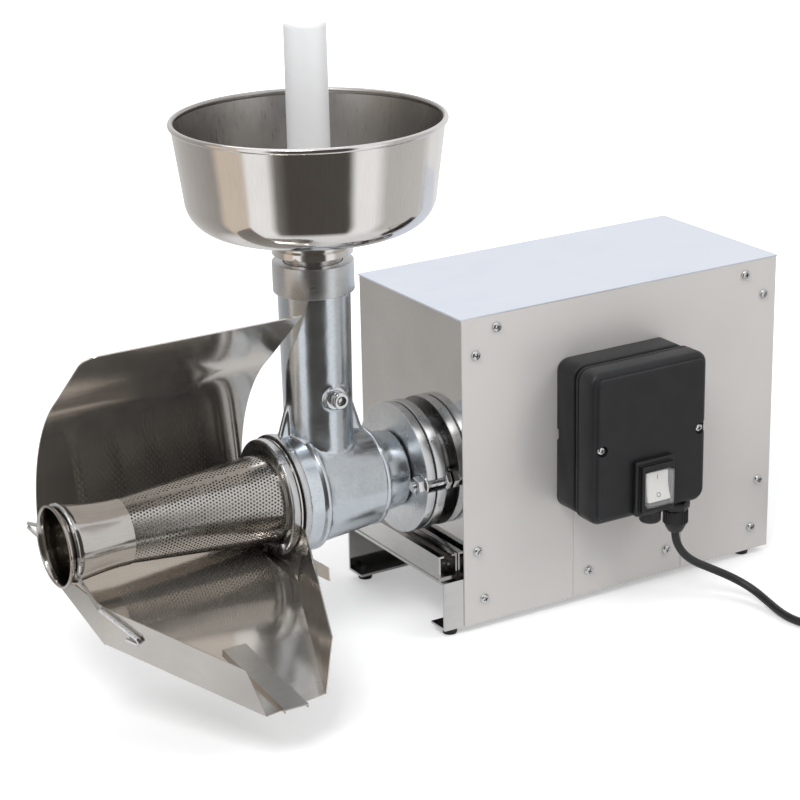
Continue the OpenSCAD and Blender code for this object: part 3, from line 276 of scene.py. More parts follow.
FINISH = {
    "side_sheet": satin_sheet("polished_side_sheet", (0.685, 0.66, 0.64), 0.34, 0.18),
    "end_sheet": sheet_steel("polished_end_sheet", (0.58, 0.565, 0.55), (0.66, 0.645, 0.63), 0.07,
                             (0.04, 1, 1), 0.30, 0.012),
    # The top cover's base colour is brighter and blue-tinted: a painted reflection of the pale sky, on the
    # same polished steel as the other sheets
    "top_sheet": sheet_steel("polished_top_sheet", (0.80, 0.86, 0.97), (0.86, 0.90, 1.0), 0.16, (0.05, 1, 1),
                             0.10, 0.010),
    "chassis_sheet": sheet_steel("bent_chassis_sheet", (0.60, 0.59, 0.58), (0.68, 0.67, 0.66), 0.10,
                                 (0.06, 1, 1), 0.12, 0.02),
    "rail_sheet": sheet_steel("rail_sheet", (0.55, 0.54, 0.53), (0.66, 0.65, 0.64), 0.12, (1, 0.06, 1), 0.10,
                              0.02),
    "tray_sheet": sheet_steel("tray_sheet", (0.64, 0.60, 0.555), (0.72, 0.68, 0.635), 0.11, (0.08, 1, 1),
                              0.35, 0.014, 0.003, 0.90),
    "tray_outside": sheet_steel("tray_outside", (0.50, 0.48, 0.455), (0.57, 0.55, 0.525), 0.22, (0.10, 1, 1),
                                0.08, 0.014, 0.003),
    "hopper_sheet": sheet_steel("spun_hopper_sheet", (0.70, 0.675, 0.655), (0.78, 0.76, 0.74), 0.10,
                                (1, 1, 0.03), 0.10, 0.03, 0.003),
    # The bowl's inside is the same spun sheet, coloured darker than its outside: painted shade inside the
    # bowl
    "hopper_inside_painted_shade": sheet_steel("hopper_inside_painted_shade", (0.40, 0.385, 0.37), (0.49, 0.475, 0.46), 0.30,
                                 (1, 1, 0.05), 0.10, 0.02, 0.01),
    "cup_steel": sheet_steel("cup_steel", (0.43, 0.41, 0.385), (0.51, 0.485, 0.455), 0.12, (0.05, 1, 1),
                             0.08, 0.03, 0.004),
    "perforated_sheet": plain_metal("perforated_sheet", (0.53, 0.505, 0.475), 0.17, 0.02, 0.5),
    "tinned_casting": tinned_cast_iron(),
    "turned_flange": turned_metal("turned_flange", (0.68, 0.695, 0.71), 0.29),
    "turned_ring": turned_metal("turned_ring", (0.60, 0.61, 0.62), 0.27),
    "machined_steel": plain_metal("machined_steel", (0.58, 0.58, 0.58), 0.25),
    "bright_steel": plain_metal("zinc_plated_steel", (0.72, 0.73, 0.74), 0.16, 0.03, 1.0),
    "cast_aluminium": plain_metal("cast_aluminium", (0.60, 0.61, 0.62), 0.45, 0.2, 0.5),
    "motor_paint": moulded("motor_paint", (0.10, 0.12, 0.15), 0.45, 0.9, 0.06),
    "copper_winding": plain_metal("copper_winding", (0.62, 0.30, 0.16), 0.35, 0.3, 0.8),
    "bronze": plain_metal("sintered_bronze", (0.60, 0.42, 0.22), 0.35, 0.06, 1.5),
    "black_rubber": moulded("black_rubber", (0.012, 0.012, 0.013), 0.62, 1.0, 0.06),
    "black_plastic": moulded("black_moulded_plastic", (0.0125, 0.013, 0.0145), 0.40, 1.3, 0.035, 1.35, 0.0,
                             0.36),
    "switch_plastic": moulded("switch_frame_plastic", (0.008, 0.008, 0.009), 0.30, 1.5, 0.02),
    "white_plastic": moulded("white_food_plastic", (0.93, 0.935, 0.94), 0.38, 0.3, 0.10, 1.04, 0.25),
    "auger_plastic": moulded("auger_plastic", (0.74, 0.73, 0.69), 0.42, 0.4, 0.06, 1.05),
    "rocker_plastic": moulded("rocker_plastic", (0.80, 0.775, 0.74), 0.30, 1.0, 0.01),
    "capacitor_white": moulded("capacitor_plastic", (0.70, 0.71, 0.72), 0.4, 1.0, 0.02),
    "mark_ink": moulded("mark_ink", (0.03, 0.03, 0.035), 0.5, 1.0, 0.0),
    "clear_cap": clear_plastic(),
    "cord_sheath": moulded("cord_sheath", (0.014, 0.014, 0.015), 0.42, 1.8, 0.03),
    "fan_plastic": moulded("fan_plastic", (0.03, 0.03, 0.035), 0.5, 0.8, 0.04),
}


# Shaping

EASE_CUTS = 4
SHEET_EDGE = 0.4
LEAST_CORNER = 0.3


def turned(outline, sides=144, closed=True):
    """A shape turned about Z from (radius, height) points"""
    shape = bmesh.new()
    points = [shape.verts.new((r, 0, h)) for r, h in outline]
    count = len(points) if closed else len(points) - 1
    edges = [shape.edges.new((points[i], points[(i + 1) % len(points)])) for i in range(count)]
    bmesh.ops.spin(shape, geom=points + edges, cent=(0, 0, 0), axis=(0, 0, 1), dvec=(0, 0, 0),
                   angle=2 * math.pi, steps=sides, use_merge=True, use_duplicate=False, use_normal_flip=False)
    bmesh.ops.remove_doubles(shape, verts=shape.verts, dist=1e-4)
    bmesh.ops.recalc_face_normals(shape, faces=shape.faces)
    return shape


def eased(outline, radius, cuts=3, closed=True):
    """The outline with its corners rounded"""
    points = [Vector(p) for p in outline]
    result = []
    for i, corner in enumerate(points):
        if not closed and i in (0, len(points) - 1):
            result.append(corner)
            continue
        before, after = points[i - 1] - corner, points[(i + 1) % len(points)] - corner
        if before.length < 1e-6 or after.length < 1e-6 or before.angle(-after) < math.radians(14):
            result.append(corner)
            continue
        reach = min(radius, 0.42 * before.length, 0.42 * after.length)
        start, end = corner + before.normalized() * reach, corner + after.normalized() * reach
        for k in range(cuts + 1):
            t = k / cuts
            result.append((1 - t) ** 2 * start + 2 * t * (1 - t) * corner + t * t * end)
    return [tuple(p) for p in result]


def arc(centre, radius, start, end, count):
    return [(centre[0] + radius * math.cos(math.radians(start + (end - start) * i / count)),
             centre[1] + radius * math.sin(math.radians(start + (end - start) * i / count)))
            for i in range(count + 1)]


def move_new(shape, made, step):
    """Moves the corners that an operator made"""
    bmesh.ops.translate(shape, verts=[v for v in made if isinstance(v, bmesh.types.BMVert)], vec=step)


def bar(outline, low, high, axis="X"):
    """An outline of (a, b) points drawn out along an axis from low to high"""
    shape = bmesh.new()
    corner = {"X": lambda a, b: (low, a, b), "Y": lambda a, b: (a, low, b),
              "Z": lambda a, b: (a, b, low)}[axis]
    shape.faces.new([shape.verts.new(corner(a, b)) for a, b in outline])
    made = bmesh.ops.extrude_face_region(shape, geom=shape.faces[:])["geom"]
    move_new(shape, made, {"X": (high - low, 0, 0), "Y": (0, high - low, 0), "Z": (0, 0, high - low)}[axis])
    bmesh.ops.recalc_face_normals(shape, faces=shape.faces)
    return shape


def block(low, high, edge=0.0, cuts=2):
    shape = bmesh.new()
    size = [b - a for a, b in zip(low, high)]
    middle = [(a + b) / 2 for a, b in zip(low, high)]
    bmesh.ops.create_cube(shape, size=1, matrix=Matrix.Translation(middle) @ Matrix.Diagonal((*size, 1)))
    if edge:
        rounded_edges(shape, edge, cuts)
    return shape


def stacked(width, height, corner, levels, cuts=8):
    """Rounded rectangles laid along Z, one for each (depth, inset) level, joined and closed at both ends"""
    shape = bmesh.new()
    caps = []
    for k, (_, inset) in enumerate(levels):
        place = moved(0, 0, k) @ Matrix.Diagonal((width / 2 - inset, height / 2 - inset, 1, 1))
        corners = bmesh.ops.create_grid(shape, x_segments=1, y_segments=1, size=1, matrix=place)["verts"]
        bmesh.ops.bevel(shape, geom=corners, offset=max(corner - inset, LEAST_CORNER), segments=cuts,
                        profile=0.5, affect="VERTICES", material=-1)
        caps.append(next(f for f in shape.faces if f not in caps))
    rings = [(cap.edges[:], cap.verts[:]) for cap in caps]
    bmesh.ops.delete(shape, geom=caps[1:-1], context="FACES_ONLY")
    for (low, _), (high, _) in zip(rings, rings[1:]):
        bmesh.ops.bridge_loops(shape, edges=low + high)
    for k, ((_, points), (depth, _)) in enumerate(zip(rings, levels)):
        bmesh.ops.translate(shape, verts=points, vec=(0, 0, depth - k))
    bmesh.ops.recalc_face_normals(shape, faces=shape.faces)
    return shape


def soft_levels(low, high, ease):
    """Levels of a box from low to high whose last edge is rounded by ease"""
    turns = [math.radians(90 * k / EASE_CUTS) for k in range(EASE_CUTS + 1)]
    return [(low, 0)] + [(high - ease + ease * math.sin(a), ease - ease * math.cos(a)) for a in turns]


def rod(radius, low, high, sides=32):
    """A rod along Z"""
    shape = bmesh.new()
    bmesh.ops.create_cone(shape, cap_ends=True, segments=sides, radius1=radius, radius2=radius,
                          depth=high - low, matrix=moved(0, 0, (low + high) / 2))
    return shape


def rounded_edges(shape, width, cuts=2, above=30):
    """Rounds the edges that turn by more than an angle"""
    edges = [e for e in shape.edges if len(e.link_faces) == 2 and e.calc_face_angle(0) > math.radians(above)]
    bmesh.ops.bevel(shape, geom=edges, offset=width, segments=cuts, profile=0.5, affect="EDGES", material=-1,
                    clamp_overlap=True)


def joined(*parts):
    """One shape of (shape, place) parts; a bare shape stays where it is"""
    whole = bmesh.new()
    for part in parts:
        shape, place = part if isinstance(part, tuple) else (part, Matrix())
        data = bpy.data.meshes.new("part")
        shape.to_mesh(data)
        data.transform(place)
        whole.from_mesh(data)
        bpy.data.meshes.remove(data)
    return whole


def sharp_by_angle(shape, limit):
    for face in shape.faces:
        face.smooth = True
    for edge in shape.edges:
        edge.smooth = not (len(edge.link_faces) != 2 or edge.calc_face_angle(0) > math.radians(limit))


def in_scene(name, shape):
    """A new object of the shape, which is used up"""
    data = bpy.data.meshes.new(name)
    shape.to_mesh(data)
    shape.free()
    thing = bpy.data.objects.new(name, data)
    bpy.context.scene.collection.objects.link(thing)
    return thing


def piece(name, shape, body, finish, place=None, sharp=32, instead_of=None):
    """Makes the shape, given in millimetres, a piece of the machine that rides on a body"""
    if place is not None:
        bmesh.ops.transform(shape, matrix=place, verts=shape.verts)
    bmesh.ops.scale(shape, vec=(MM, MM, MM), verts=shape.verts)
    sharp_by_angle(shape, sharp)
    thing = in_scene(name, shape)
    finishes = finish if isinstance(finish, list) else [finish]
    for one in finishes:
        thing.data.materials.append(FINISH[one])
    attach(thing, body)
    if instead_of:
        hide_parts(instead_of)
    return thing


def cut_away(thing, *tools):
    """Cuts the tools, shapes in millimetres, out of a finished piece"""
    shape = joined(*tools)
    bmesh.ops.scale(shape, vec=(MM, MM, MM), verts=shape.verts)
    cutter = in_scene("cutter", shape)
    modifier = thing.modifiers.new("cut", "BOOLEAN")
    modifier.operation = "DIFFERENCE"
    modifier.solver = "EXACT"
    modifier.object = cutter
    settle(thing)
    bpy.data.objects.remove(cutter)
    shape = bmesh.new()
    shape.from_mesh(thing.data)
    sharp_by_angle(shape, 32)
    shape.to_mesh(thing.data)
    shape.free()


def settle(thing):
    """Applies a piece's modifiers to its mesh"""
    bpy.context.view_layer.update()
    graph = bpy.context.evaluated_depsgraph_get()
    data = bpy.data.meshes.new_from_object(thing.evaluated_get(graph))
    old = thing.data
    thing.modifiers.clear()
    thing.data = data
    bpy.data.meshes.remove(old)
    data.name = thing.name


def eased_copy(node, finish):
    """A sheet of the housing: a copy of its CAD node, its triangles merged and its edges rounded"""
    shape = bmesh.new()
    shape.from_mesh(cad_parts[node].data)
    bmesh.ops.scale(shape, vec=(1000, 1000, 1000), verts=shape.verts)
    bmesh.ops.remove_doubles(shape, verts=shape.verts, dist=0.005)
    bmesh.ops.dissolve_limit(shape, angle_limit=math.radians(1), use_dissolve_boundaries=False,
                             verts=shape.verts, edges=shape.edges, delimit={"NORMAL"})
    rounded_edges(shape, SHEET_EDGE, above=35)
    bmesh.ops.recalc_face_normals(shape, faces=shape.faces)
    piece(node + "_eased", shape, "machine", finish, sharp=18, instead_of=node)


# Cord

CORD_D = 6.5
CORD_ROUTE = [(172, -39.5, 61), (173.3, -39.8, 51.97), (176.96, -40.86, 43.78), (182.76, -42.64, 36.71),
              (189.5, -45.42, 31.41), (197.3, -48.3, 27), (204.8, -52.2, 22.9), (211.5, -57.1, 19.2),
              (217.1, -62.8, 15.7), (221.2, -69.5, 12.5), (223.7, -77.1, 9.7), (224.6, -85.4, 7.3),
              (224.4, -94.2, 5.5), (223.7, -103.5, 4.2), (222.9, -112.9, 3.6), (222.9, -122.1, 3.4),
              (224.2, -131, 3.4), (227.1, -139, 3.4), (231.7, -145.8, 3.4), (238, -151.1, 3.5),
              (245.7, -154.7, 3.5), (254.5, -156.5, 3.5), (263.8, -156.6, 3.5), (273.4, -155.4, 3.5),
              (283, -153.3, 3.5), (292.3, -150.4, 3.5), (301.5, -147.1, 3.5), (310.4, -143.3, 3.5),
              (319.1, -139.1, 3.5), (327.6, -134.5, 3.5), (335.9, -129.6, 3.5), (344.1, -124.4, 3.5),
              (352.1, -119, 3.5), (359.9, -113.4, 3.5), (367.7, -107.6, 3.5), (375.3, -101.6, 3.5),
              (383, -95.6, 3.5), (390.7, -89.5, 3.5), (398.2, -83.3, 3.5), (405.2, -77.1, 3.45)]
COIL_AT = (380, -47)
COIL_OUT = 39.25
COIL_IN = 32.75
COIL_LIFT = 0.2
# Degrees round the coil: its start and end, between points, for a change of row and for the rise at its end
COIL_START, COIL_END, COIL_STEP = 40, 1818, 14
ROW_CHANGE, ROW_LAG = 110, 55
RISE_FROM, RISE = 130, 125
PLUG_DX = 34
PLUG_DY = 20
PLUG_TAIL = 20
PLUG_CORD_H = 8
LEAD_IN_R = 34.3
LEAD_IN_DY = 1.4
LINE_CUTS = 5
CORD_FRAME = moved(END_X, NEAR_Y, 0)


def coil_path():
    """The coil's turns, two to a row, and its end raised and led to the plug"""
    rows = [CORD_D * (k + 0.5) + COIL_LIFT for k in range(3)]
    places = [(COIL_OUT, rows[0]), (COIL_IN, rows[0]), (COIL_IN, rows[1]), (COIL_OUT, rows[1]),
              (COIL_OUT, rows[2]), (COIL_IN, rows[2])]
    shifts = [360 * (k + 1) - k * ROW_LAG - ROW_CHANGE for k in range(5)]
    top = COIL_LIFT + 3 * CORD_D + PLUG_CORD_H
    points = []
    for angle in range(COIL_START + COIL_STEP, COIL_END + 1, COIL_STEP):
        radius, height = places[0]
        for k, start in enumerate(shifts):
            t = min(max((angle - start) / ROW_CHANGE, 0), 1)
            t = t * t * (3 - 2 * t)
            radius += t * (places[k + 1][0] - places[k][0])
            height += t * (places[k + 1][1] - places[k][1])
        lift = min(max((angle - COIL_END + RISE_FROM) / RISE, 0), 1)
        height += lift * lift * (3 - 2 * lift) * (top - rows[2])
        at = math.radians(angle - 90)
        points.append((COIL_AT[0] + radius * math.cos(at), COIL_AT[1] + radius * math.sin(at), height))
    for angle in (-58, -44, -30, -16):
        at = math.radians(angle)
        points.append((COIL_AT[0] + PLUG_DX - LEAD_IN_R + LEAD_IN_R * math.cos(at),
                       COIL_AT[1] + LEAD_IN_DY + LEAD_IN_R * math.sin(at), top))
    return points + [(COIL_AT[0] + PLUG_DX, COIL_AT[1] + PLUG_DY - PLUG_TAIL, top)]


def smooth_line(points, cuts):
    """Points on a smooth line through the given ones, which leaves the first one straight down"""
    spots = [Vector(p) for p in points]
    before = Vector((spots[1].x, spots[1].y, 2 * spots[0].z - spots[1].z))
    spots = [before] + spots + [2 * spots[-1] - spots[-2]]
    line = []
    for a, b, c, d in zip(spots, spots[1:], spots[2:], spots[3:]):
        for k in range(cuts):
            t = k / cuts
            line.append((2 * b + (c - a) * t + (2 * a - 5 * b + 4 * c - d) * t * t
                         + (3 * b - a - 3 * c + d) * t ** 3) / 2)
    return line + [spots[-2]]


def lay_cord():
    spots = [(CORD_FRAME @ p) * MM for p in smooth_line(CORD_ROUTE + coil_path(), LINE_CUTS)]
    data = bpy.data.curves.new("power_lead", "CURVE")
    data.dimensions = "3D"
    data.bevel_depth = CORD_D / 2 * MM
    data.bevel_resolution = 4
    data.use_fill_caps = True
    spline = data.splines.new("POLY")
    spline.points.add(len(spots) - 1)
    for point, spot in zip(spline.points, spots):
        point.co = (*spot, 1)
    spline.use_smooth = True
    lead = bpy.data.objects.new("power_lead", data)
    bpy.context.scene.collection.objects.link(lead)
    data.materials.append(FINISH["cord_sheath"])
    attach(lead, "machine")
    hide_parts("power_cord", "cord_coil")
    length = sum((b - a).length for a, b in zip(spots, spots[1:]))
    return lead, spots[0], length


def plug_shape():
    """A moulded three-pin plug lying flat, its cord end toward -Y"""
    low = COIL_LIFT + 3 * CORD_D
    body = block((-15, -12, 0), (15, 23, 16), 4.5, 4)
    waist = block((-9, -20, 2), (9, -8, 14), 3.5, 3)
    ribs = [(turned(eased([(3.2, -1.2), (5.6, -1.2), (5.6, 1.2), (3.2, 1.2)], 0.6), 32),
             moved(0, y, 8) @ TO_FRONT) for y in (-21.2, -18.4)]
    grips = [block((s * 14.2 - 0.9, y - 0.9, 3.5), (s * 14.2 + 0.9, y + 0.9, 12.5), 0.6, 2) for s in (-1, 1)
             for y in (-4, 0, 4, 8, 12)]
    place = moved(END_X + COIL_AT[0] + PLUG_DX, NEAR_Y + COIL_AT[1] + PLUG_DY, low)
    return joined(body, waist, *ribs, *grips), place


def plug_pins():
    pins = []
    for i in (-1, 0, 1):
        pin = turned(eased([(0, 0), (2, 0), (2, 17), (1.2, 19), (0, 19)], 0.5, closed=False), 24, False)
        pins.append((pin, moved(i * 9.5, 23, 8) @ spun(-90, "X")))
    return joined(*pins)


def cord_tie():
    """A rubber band round the coil's section"""
    half_w, half_h = 7.1, 10.3
    outline = eased([(-half_w, -half_h + 0.3), (half_w, -half_h + 0.3), (half_w, half_h), (-half_w, half_h)],
                    2.5, 4)
    band = bar(outline, -2.5, 2.5, "Y")
    hole = [f for f in band.faces if len(f.verts) > 4]
    bmesh.ops.inset_region(band, faces=hole, thickness=0.8, use_boundary=True, use_even_offset=True)
    caps = [f for f in band.faces if len(f.verts) > 4]
    bmesh.ops.bridge_loops(band, edges=[e for f in caps for e in f.edges])
    bmesh.ops.delete(band, geom=caps, context="FACES_ONLY")
    return band


lead, lead_exit, lead_length = lay_cord()
shape, where = plug_shape()
lead_plug = piece("lead_plug", shape, "machine", "cord_sheath", where, instead_of="plug")
plug_prongs = piece("plug_prongs", plug_pins(), "machine", "bright_steel", where)
coil_tie = piece("coil_tie", cord_tie(), "machine", "black_rubber",
                 moved(END_X + COIL_AT[0] - (COIL_OUT + COIL_IN) / 2, NEAR_Y + COIL_AT[1], COIL_LIFT + 10.1))


# Hopper and pestle

HOPPER_R = 100.0
HOPPER_H = 81.0
BEAD_R = 2.2
BOWL_H = 205.0
NECK_R = 22.0
COLLAR_R = 30.5
FEED_H = 179.0


def hopper():
    """The spun bowl: a rounded foot, a wall that widens a little and a rolled bead"""
    wall = arc((68, 25), 25, -88, -4, 20)
    wall += [(93.4 + (HOPPER_R - 93.1) * t, 27 + (HOPPER_H - BEAD_R - 27) * t)
             for t in (0.25, 0.5, 0.75, 0.97)]
    bead = arc((HOPPER_R, HOPPER_H - BEAD_R), BEAD_R, -60, 215, 18)
    inside = [(HOPPER_R - 0.9 - 0.02, HOPPER_H - BEAD_R - 2.5)]
    inside += [(r - min(1, max(0.0, h / 12)), h + max(0.0, 1 - h / 25)) for r, h in reversed(wall[:-1])]
    outline = [(NECK_R - 1.2, 0)] + wall + bead + inside + [(NECK_R - 1.2, 1.0)]
    return turned(outline, 192)


bowl = piece("hopper_bowl_spun", hopper(), "hopper_group", ["hopper_sheet", "hopper_inside_painted_shade"],
             ON_FEED @ moved(0, 0, BOWL_H), 40, instead_of="hopper_bowl")
# Faces inside the bowl and on its floor take the darker second finish: painted shade
for face in bowl.data.polygons:
    centre = face.center - Vector((END_X - FEED_X, AXIS_Y, 0)) * MM
    flat = Vector((centre.x, centre.y, 0))
    on_bottom = face.normal.z > 0.5 and face.center.z < (AXIS_Z + BOWL_H + 60) * MM
    if on_bottom or face.normal.dot(flat) < -0.3 * flat.length:
        face.material_index = 1

neck_outline = eased([(NECK_R - 1.2, 62.2), (NECK_R, 62.2), (NECK_R, 185), (COLLAR_R, 185),
                      (COLLAR_R - 0.4, 189.5), (COLLAR_R - 1.6, 191.5), (COLLAR_R - 1.6, 205.2),
                      (NECK_R - 1.2, 205.2)], 0.5)
piece("hopper_neck_ring", turned(neck_outline, 128), "hopper_group", "hopper_sheet", ON_FEED,
      instead_of="hopper_neck")

PESTLE_FOOT = 33.1
pestle_outline = eased([(0, 0), (15.2, 0), (16.5, 2), (15.5, 320), (14.6, 322), (0, 322)], 1.4, 4, False)
piece("pestle_bar", turned(pestle_outline, 96, False), "pestle_group", "white_plastic",
      ON_FEED @ moved(0, 0, PESTLE_FOOT), 40, instead_of="pestle")


# Straining unit

def casting():
    """The cast body: barrel, feed tube, boss and gussets run together with soft fillets"""
    barrel = turned([(5, -24), (5, -122), (45.3, -122), (45.3, -104), (43.5, -102), (38.8, -51), (38.8, -48),
                     (38, -47), (32, -45), (31, -31), (30, -24)], 96)
    tube = turned([(0, 0), (25.5, 0), (27.4, 158), (27.4, 160), (0, 160)], 96, False)
    boss = turned(eased([(0, 0), (9.6, 0), (9, 28.6), (0, 28.6)], 1, closed=False), 48, False)
    gussets = [bar([(s * 22, 74), (s * 27.5, 70), (s * 37, 40), (s * 37, 30), (s * 22, 30)], -2.6, 2.6, "Y")
               for s in (-1, 1)]
    return joined((barrel, ON_AXIS), (tube, ON_FEED), (boss, ON_FEED @ moved(0, 0, 78) @ TO_FRONT),
                  *[(one, ON_FEED) for one in gussets])


body = piece("cast_body", casting(), "machine", "tinned_casting", sharp=180, instead_of="strainer_body")
remesh = body.modifiers.new("run_together", "REMESH")
remesh.mode = "VOXEL"
remesh.voxel_size = 1.15 * MM
soften = body.modifiers.new("soften", "SMOOTH")
soften.factor = 0.5
soften.iterations = 10
settle(body)
bore = (rod(33.4, -140, -51, 96), ON_AXIS)
neck_bore = (rod(20, -60, 0, 64), ON_AXIS)
throat = (rod(20.5, 0, 100, 64), ON_FEED)
feed_seat = (rod(22.3, 62, 170, 64), ON_FEED)
lock_hole = (rod(4.1, 20, 60, 32), ON_FEED @ moved(0, 0, 78) @ TO_FRONT)
cut_away(body, bore, neck_bore, throat)
cut_away(body, feed_seat, lock_hole)
for face in body.data.polygons:
    face.use_smooth = True

rim_outline = eased([(33.4, -126), (46.5, -126), (46.5, -121), (45.2, -120), (33.4, -120)], 0.6)
piece("body_rim", turned(rim_outline, 144), "machine", "turned_ring", ON_AXIS)
bead_outline = eased([(44.6, -110), (45.4, -109), (47.0, -107), (47.0, -104), (43.6, -101.8), (40, -101.8),
                      (40, -110)], 1.0, 4)
piece("body_bead", turned(bead_outline, 144), "machine", "tinned_casting", ON_AXIS, 40)
edge_outline = eased([(36, -51.4), (39.4, -51), (39.5, -48), (38.4, -46.8), (36, -46.6)], 0.7, 3)
piece("barrel_edge", turned(edge_outline, 144), "machine", "tinned_casting", ON_AXIS, 40)
collar_outline = eased([(22.3, FEED_H - 23), (COLLAR_R, FEED_H - 23), (COLLAR_R, FEED_H), (22.3, FEED_H)],
                       0.6, 3)
piece("feed_collar", turned(collar_outline, 128), "machine", "turned_flange", ON_FEED)


def slot_cutters(low, high):
    """The cutters of a flange's two open slots for the clamp bolts"""
    return [block((END_X + low, AXIS_Y + s * 68 - 30, AXIS_Z - 5),
                  (END_X + high, AXIS_Y + s * 68 + 30, AXIS_Z + 5), 1.5, 3) for s in (-1, 1)]


flange_outline = eased([(20, -23), (51.5, -23), (51.5, -15.5), (20, -15.5)], 0.7)
body_flange = piece("body_flange", turned(flange_outline, 144), "machine", "turned_flange", ON_AXIS)
cut_away(body_flange, *slot_cutters(-25, -14))
drive_outline = eased([(11, -14), (51.5, -14), (51.5, -6), (37, -6), (37, -3.4), (36.2, -2.6), (37, -1.8),
                       (37, 6), (11, 6)], 0.7)
drive_flange = piece("drive_flange_turned", turned(drive_outline, 144), "machine", "turned_flange", ON_AXIS,
                     instead_of="drive_flange")
cut_away(drive_flange, *slot_cutters(-16, -5), (rod(16, -16, -7, 64), ON_AXIS))


def hex_head(radius, low, high):
    """A hexagon head or nut with its corners turned off"""
    shape = bmesh.new()
    bmesh.ops.create_cone(shape, cap_ends=True, segments=6, radius1=radius, radius2=radius, depth=high - low,
                          matrix=moved(0, 0, (low + high) / 2))
    caps = [e for e in shape.edges if any(len(f.verts) == 6 for f in e.link_faces)]
    bmesh.ops.bevel(shape, geom=caps, offset=0.55, segments=2, profile=0.5, affect="EDGES", material=-1)
    return shape


def pan_head(radius, height):
    return turned(eased([(0, -1), (radius, -1), (radius, height * 0.32), (radius * 0.86, height * 0.74),
                         (radius * 0.5, height * 0.97), (0, height)], 0.5, 3, False), 40, False)


def cross_recess(radius, height):
    """The cutter of a cross recess: a cross of four arms that narrows toward its foot"""
    a, b = radius * 0.17, radius * 0.62
    outline = [(b, -a), (b, a), (a, a), (a, b), (-a, b), (-a, a), (-b, a), (-b, -a), (-a, -a), (-a, -b),
               (a, -b), (a, -a)]
    shape = bar(outline, height * 0.15, height + 1, "Z")
    for vert in shape.verts:
        if vert.co.z < height * 0.5:
            vert.co.x *= 0.45
            vert.co.y *= 0.45
    return shape


def cross_screws(name, places, radius, height, node):
    """Pan-head screws with a cross recess, each turned its own way"""
    heads = piece(name, joined(*[(pan_head(radius, height), place) for place in places]), "machine",
                  "bright_steel", sharp=34, instead_of=node)
    cut_away(heads, *[(cross_recess(radius, height), place @ Matrix.Rotation(1.3 * k + 0.4, 4, "Z"))
                      for k, place in enumerate(places)])


def at_bolt(side, x, turn=0.0):
    return moved(END_X + x, AXIS_Y + side * 45, AXIS_Z) @ spun(90, "Y") @ Matrix.Rotation(turn, 4, "Z")


THREAD_PITCH = 1.25


def threaded(radius, low, high):
    """A rod with thread ridges along Z"""
    outline = [(0, low)]
    h = low
    while h < high - THREAD_PITCH:
        outline += [(radius - 0.55, h), (radius, h + THREAD_PITCH / 2)]
        h += THREAD_PITCH
    outline += [(radius - 0.6, high - 0.3), (0, high)]
    return turned(outline, 24, False)


bolt_parts, nut_parts = [], []
for side in (-1, 1):
    bolt_parts += [(hex_head(7.5, 0, 5), at_bolt(side, -6)), (threaded(4, 0, 28), at_bolt(side, -33.5))]
    nut_parts += [(hex_head(7.5, 0, 6.5), at_bolt(side, -31.1, 0.3)),
                  (turned(eased([(4.2, 0), (8.4, 0), (8.4, 1.5), (4.2, 1.5)], 0.3), 40),
                   at_bolt(side, -24.55))]
piece("flange_bolts", joined(*bolt_parts), "machine", "bright_steel", sharp=30, instead_of="clamp_bolts")
piece("flange_nuts", joined(*nut_parts), "machine", "bright_steel", sharp=30, instead_of="clamp_nuts")


def socket_screw():
    """The hopper's lock screw: a socket cap head on a washer, and its shank"""
    head = turned(eased([(0, 5), (3.4, 5), (3.6, 8), (5.6, 8), (6.5, 7.2), (6.5, 0.4), (6, 0), (0, 0)], 0.35,
                        closed=False), 48, False)
    socket = bmesh.new()
    bmesh.ops.create_cone(socket, cap_ends=False, segments=6, radius1=3.4, radius2=3.4, depth=3.4,
                          matrix=moved(0, 0, 6.4))
    bmesh.ops.reverse_faces(socket, faces=socket.faces)
    washer = turned(eased([(4, -1.2), (8.4, -1.2), (8.4, 0), (4, 0)], 0.3), 40)
    shank = rod(4, -20, -0.2, 24)
    return joined(head, socket, washer, shank)


piece("lock_screw", socket_screw(), "machine", "bright_steel", ON_FEED @ moved(0, -29.2, 78) @ TO_FRONT,
      instead_of="hopper_lock_screw")


# Filter cone, cup and ring

CONE_SMALL = (24.0, -262.0)
CONE_BIG = (34.5, -134.0)
HOLE_PITCH = 2.8
HOLE_R = 0.90
CONE_T = 0.8
# The sheet's plain edges without holes
PLAIN_SMALL, PLAIN_BIG, PLAIN_SEAM = 2.5, 3.0, 2.2


def repeat(shape, step, count):
    """Doubles the shape along a step until it stands there count times or more"""
    copies = 1
    while copies < count:
        made = bmesh.ops.duplicate(shape, geom=shape.verts[:] + shape.edges[:] + shape.faces[:])["geom"]
        move_new(shape, made, Vector(step) * copies)
        copies *= 2


